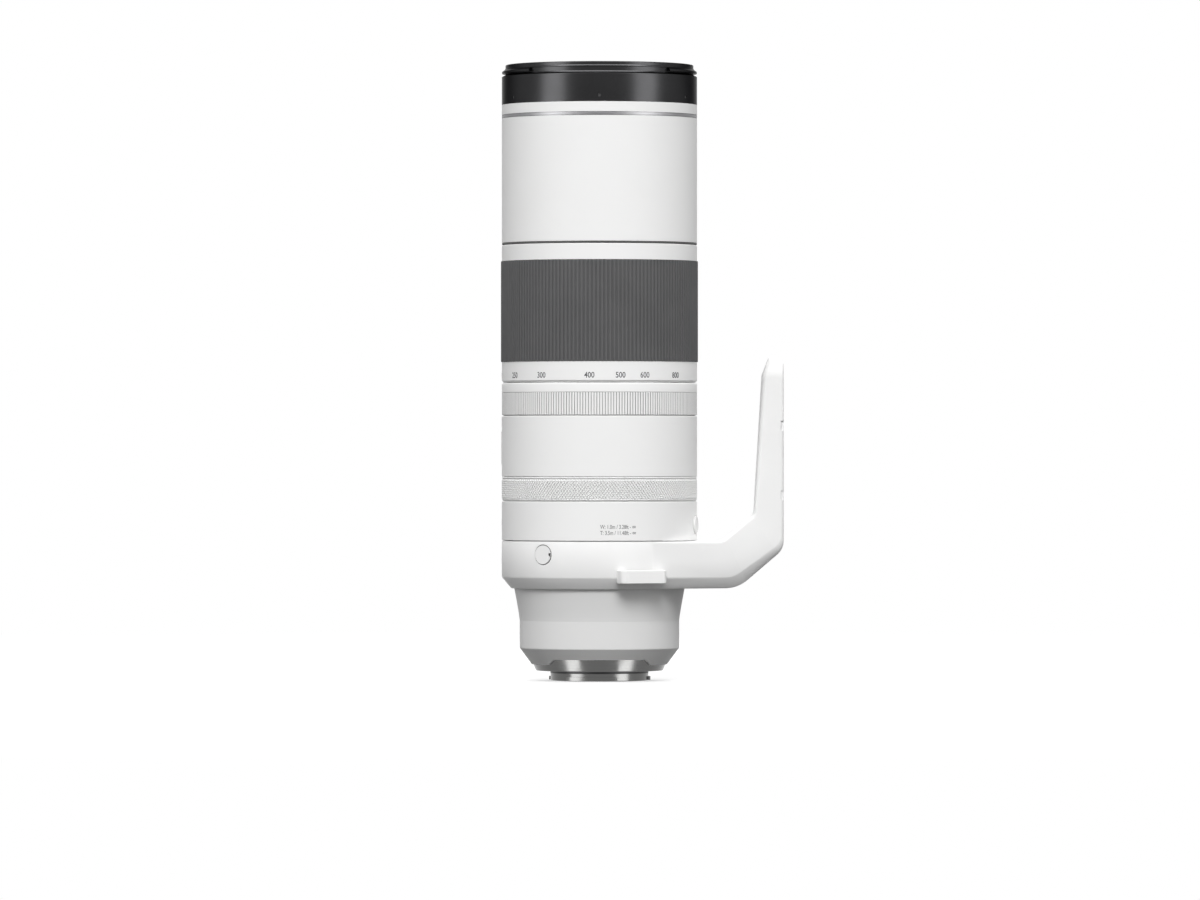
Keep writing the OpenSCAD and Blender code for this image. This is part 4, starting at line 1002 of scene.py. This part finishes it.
def soft_box(name, azimuth, elevation, distance, wide, tall, strength, glossy=True, diffuse=True):
    """Soft lamp that faces the middle of the lens. Azimuth 0 is the photographer's side."""
    light = bpy.data.lights.new(name, "AREA")
    light.shape = "RECTANGLE"
    light.size = wide
    light.size_y = tall
    light.energy = strength * wide * tall
    lamp = bpy.data.objects.new(name, light)
    bpy.context.scene.collection.objects.link(lamp)
    aim = Vector((0, 0, 160 * MM))
    turn, rise = radians(azimuth), radians(elevation)
    offset = Vector((sin(turn) * cos(rise), -cos(turn) * cos(rise), sin(rise))) * distance
    lamp.location = aim + offset
    lamp.rotation_euler = offset.to_track_quat("Z", "Y").to_euler()
    lamp.visible_camera = False
    lamp.visible_glossy = glossy
    lamp.visible_diffuse = diffuse


def seen_directly(tree):
    """1 for rays from the camera and for what metal and glass show, 0 for rays that light a surface."""
    path = tree.nodes.new("ShaderNodeLightPath")
    total = path.outputs["Is Camera Ray"]
    for kind in ("Is Glossy Ray", "Is Transmission Ray"):
        add = tree.nodes.new("ShaderNodeMath")
        add.operation = "MAXIMUM"
        tree.links.new(total, add.inputs[0])
        tree.links.new(path.outputs[kind], add.inputs[1])
        total = add.outputs[0]
    return total


def add_world(ambient):
    world = bpy.data.worlds.new("studio")
    bpy.context.scene.world = world
    world.use_nodes = True
    tree = world.node_tree
    light = tree.nodes["Background"]
    light.inputs["Color"].default_value = (1, 1, 1, 1)
    light.inputs["Strength"].default_value = ambient
    backdrop = tree.nodes.new("ShaderNodeBackground")
    backdrop.inputs["Color"].default_value = (1, 1, 1, 1)
    mix = tree.nodes.new("ShaderNodeMixShader")
    tree.links.new(seen_directly(tree), mix.inputs[0])
    tree.links.new(light.outputs[0], mix.inputs[1])
    tree.links.new(backdrop.outputs[0], mix.inputs[2])
    tree.links.new(mix.outputs[0], tree.nodes["World Output"].inputs["Surface"])


def floor_material(near, far, keep):
    """White floor that keeps a share of its shading up to near metres and is plain white past far."""
    material = bpy.data.materials.new("floor_paper")
    material.use_nodes = True
    tree = material.node_tree
    tree.nodes.clear()
    paper = tree.nodes.new("ShaderNodeBsdfDiffuse")
    paper.inputs["Color"].default_value = (keep, keep, keep, 1)
    bounce = tree.nodes.new("ShaderNodeBsdfDiffuse")
    bounce.inputs["Color"].default_value = (0.09, 0.09, 0.09, 1)
    glow = tree.nodes.new("ShaderNodeEmission")
    glow.inputs["Strength"].default_value = 1 - keep
    lifted = tree.nodes.new("ShaderNodeAddShader")
    tree.links.new(paper.outputs[0], lifted.inputs[0])
    tree.links.new(glow.outputs[0], lifted.inputs[1])
    backdrop = tree.nodes.new("ShaderNodeEmission")
    distance = tree.nodes.new("ShaderNodeVectorMath")
    distance.operation = "LENGTH"
    tree.links.new(object_place(tree), distance.inputs[0])
    fade = tree.nodes.new("ShaderNodeMapRange")
    fade.interpolation_type = "SMOOTHSTEP"
    fade.inputs["From Min"].default_value = near
    fade.inputs["From Max"].default_value = far
    tree.links.new(distance.outputs["Value"], fade.inputs["Value"])
    shown = tree.nodes.new("ShaderNodeMixShader")
    tree.links.new(fade.outputs[0], shown.inputs[0])
    tree.links.new(lifted.outputs[0], shown.inputs[1])
    tree.links.new(backdrop.outputs[0], shown.inputs[2])
    mix = tree.nodes.new("ShaderNodeMixShader")
    tree.links.new(seen_directly(tree), mix.inputs[0])
    tree.links.new(bounce.outputs[0], mix.inputs[1])
    tree.links.new(shown.outputs[0], mix.inputs[2])
    out = tree.nodes.new("ShaderNodeOutputMaterial")
    tree.links.new(mix.outputs[0], out.inputs["Surface"])
    return material


def add_floor():
    reach, sides = 9.0, 96
    height = cad_box[0].z - 0.2 * MM
    mesh = bpy.data.meshes.new("floor")
    mesh.from_pydata([on_circle(reach, turn, height) for turn in around(sides)], [], [list(range(sides))])
    mesh.materials.append(floor_material(near=0.35, far=1.1, keep=0.45))
    floor = bpy.data.objects.new("floor", mesh)
    floor.visible_glossy = False
    bpy.context.scene.collection.objects.link(floor)


add_camera()
add_world(0.735)
soft_box("strip_left", -56, 0, 2.2, 1.1, 5.6, 18, diffuse=False)
soft_box("strip_right", 56, 0, 2.2, 1.1, 5.6, 18, diffuse=False)
soft_box("edge_light", 0, 60, 2.4, 4.4, 0.8, 30, diffuse=False)
soft_box("front_fill", 0, 38, 9.2, 4.8, 3.2, 46, glossy=False)
soft_box("back_fill", 180, 38, 9.2, 4.8, 3.2, 36, glossy=False)
add_floor()
bpy.context.scene.view_settings.view_transform = "Standard"
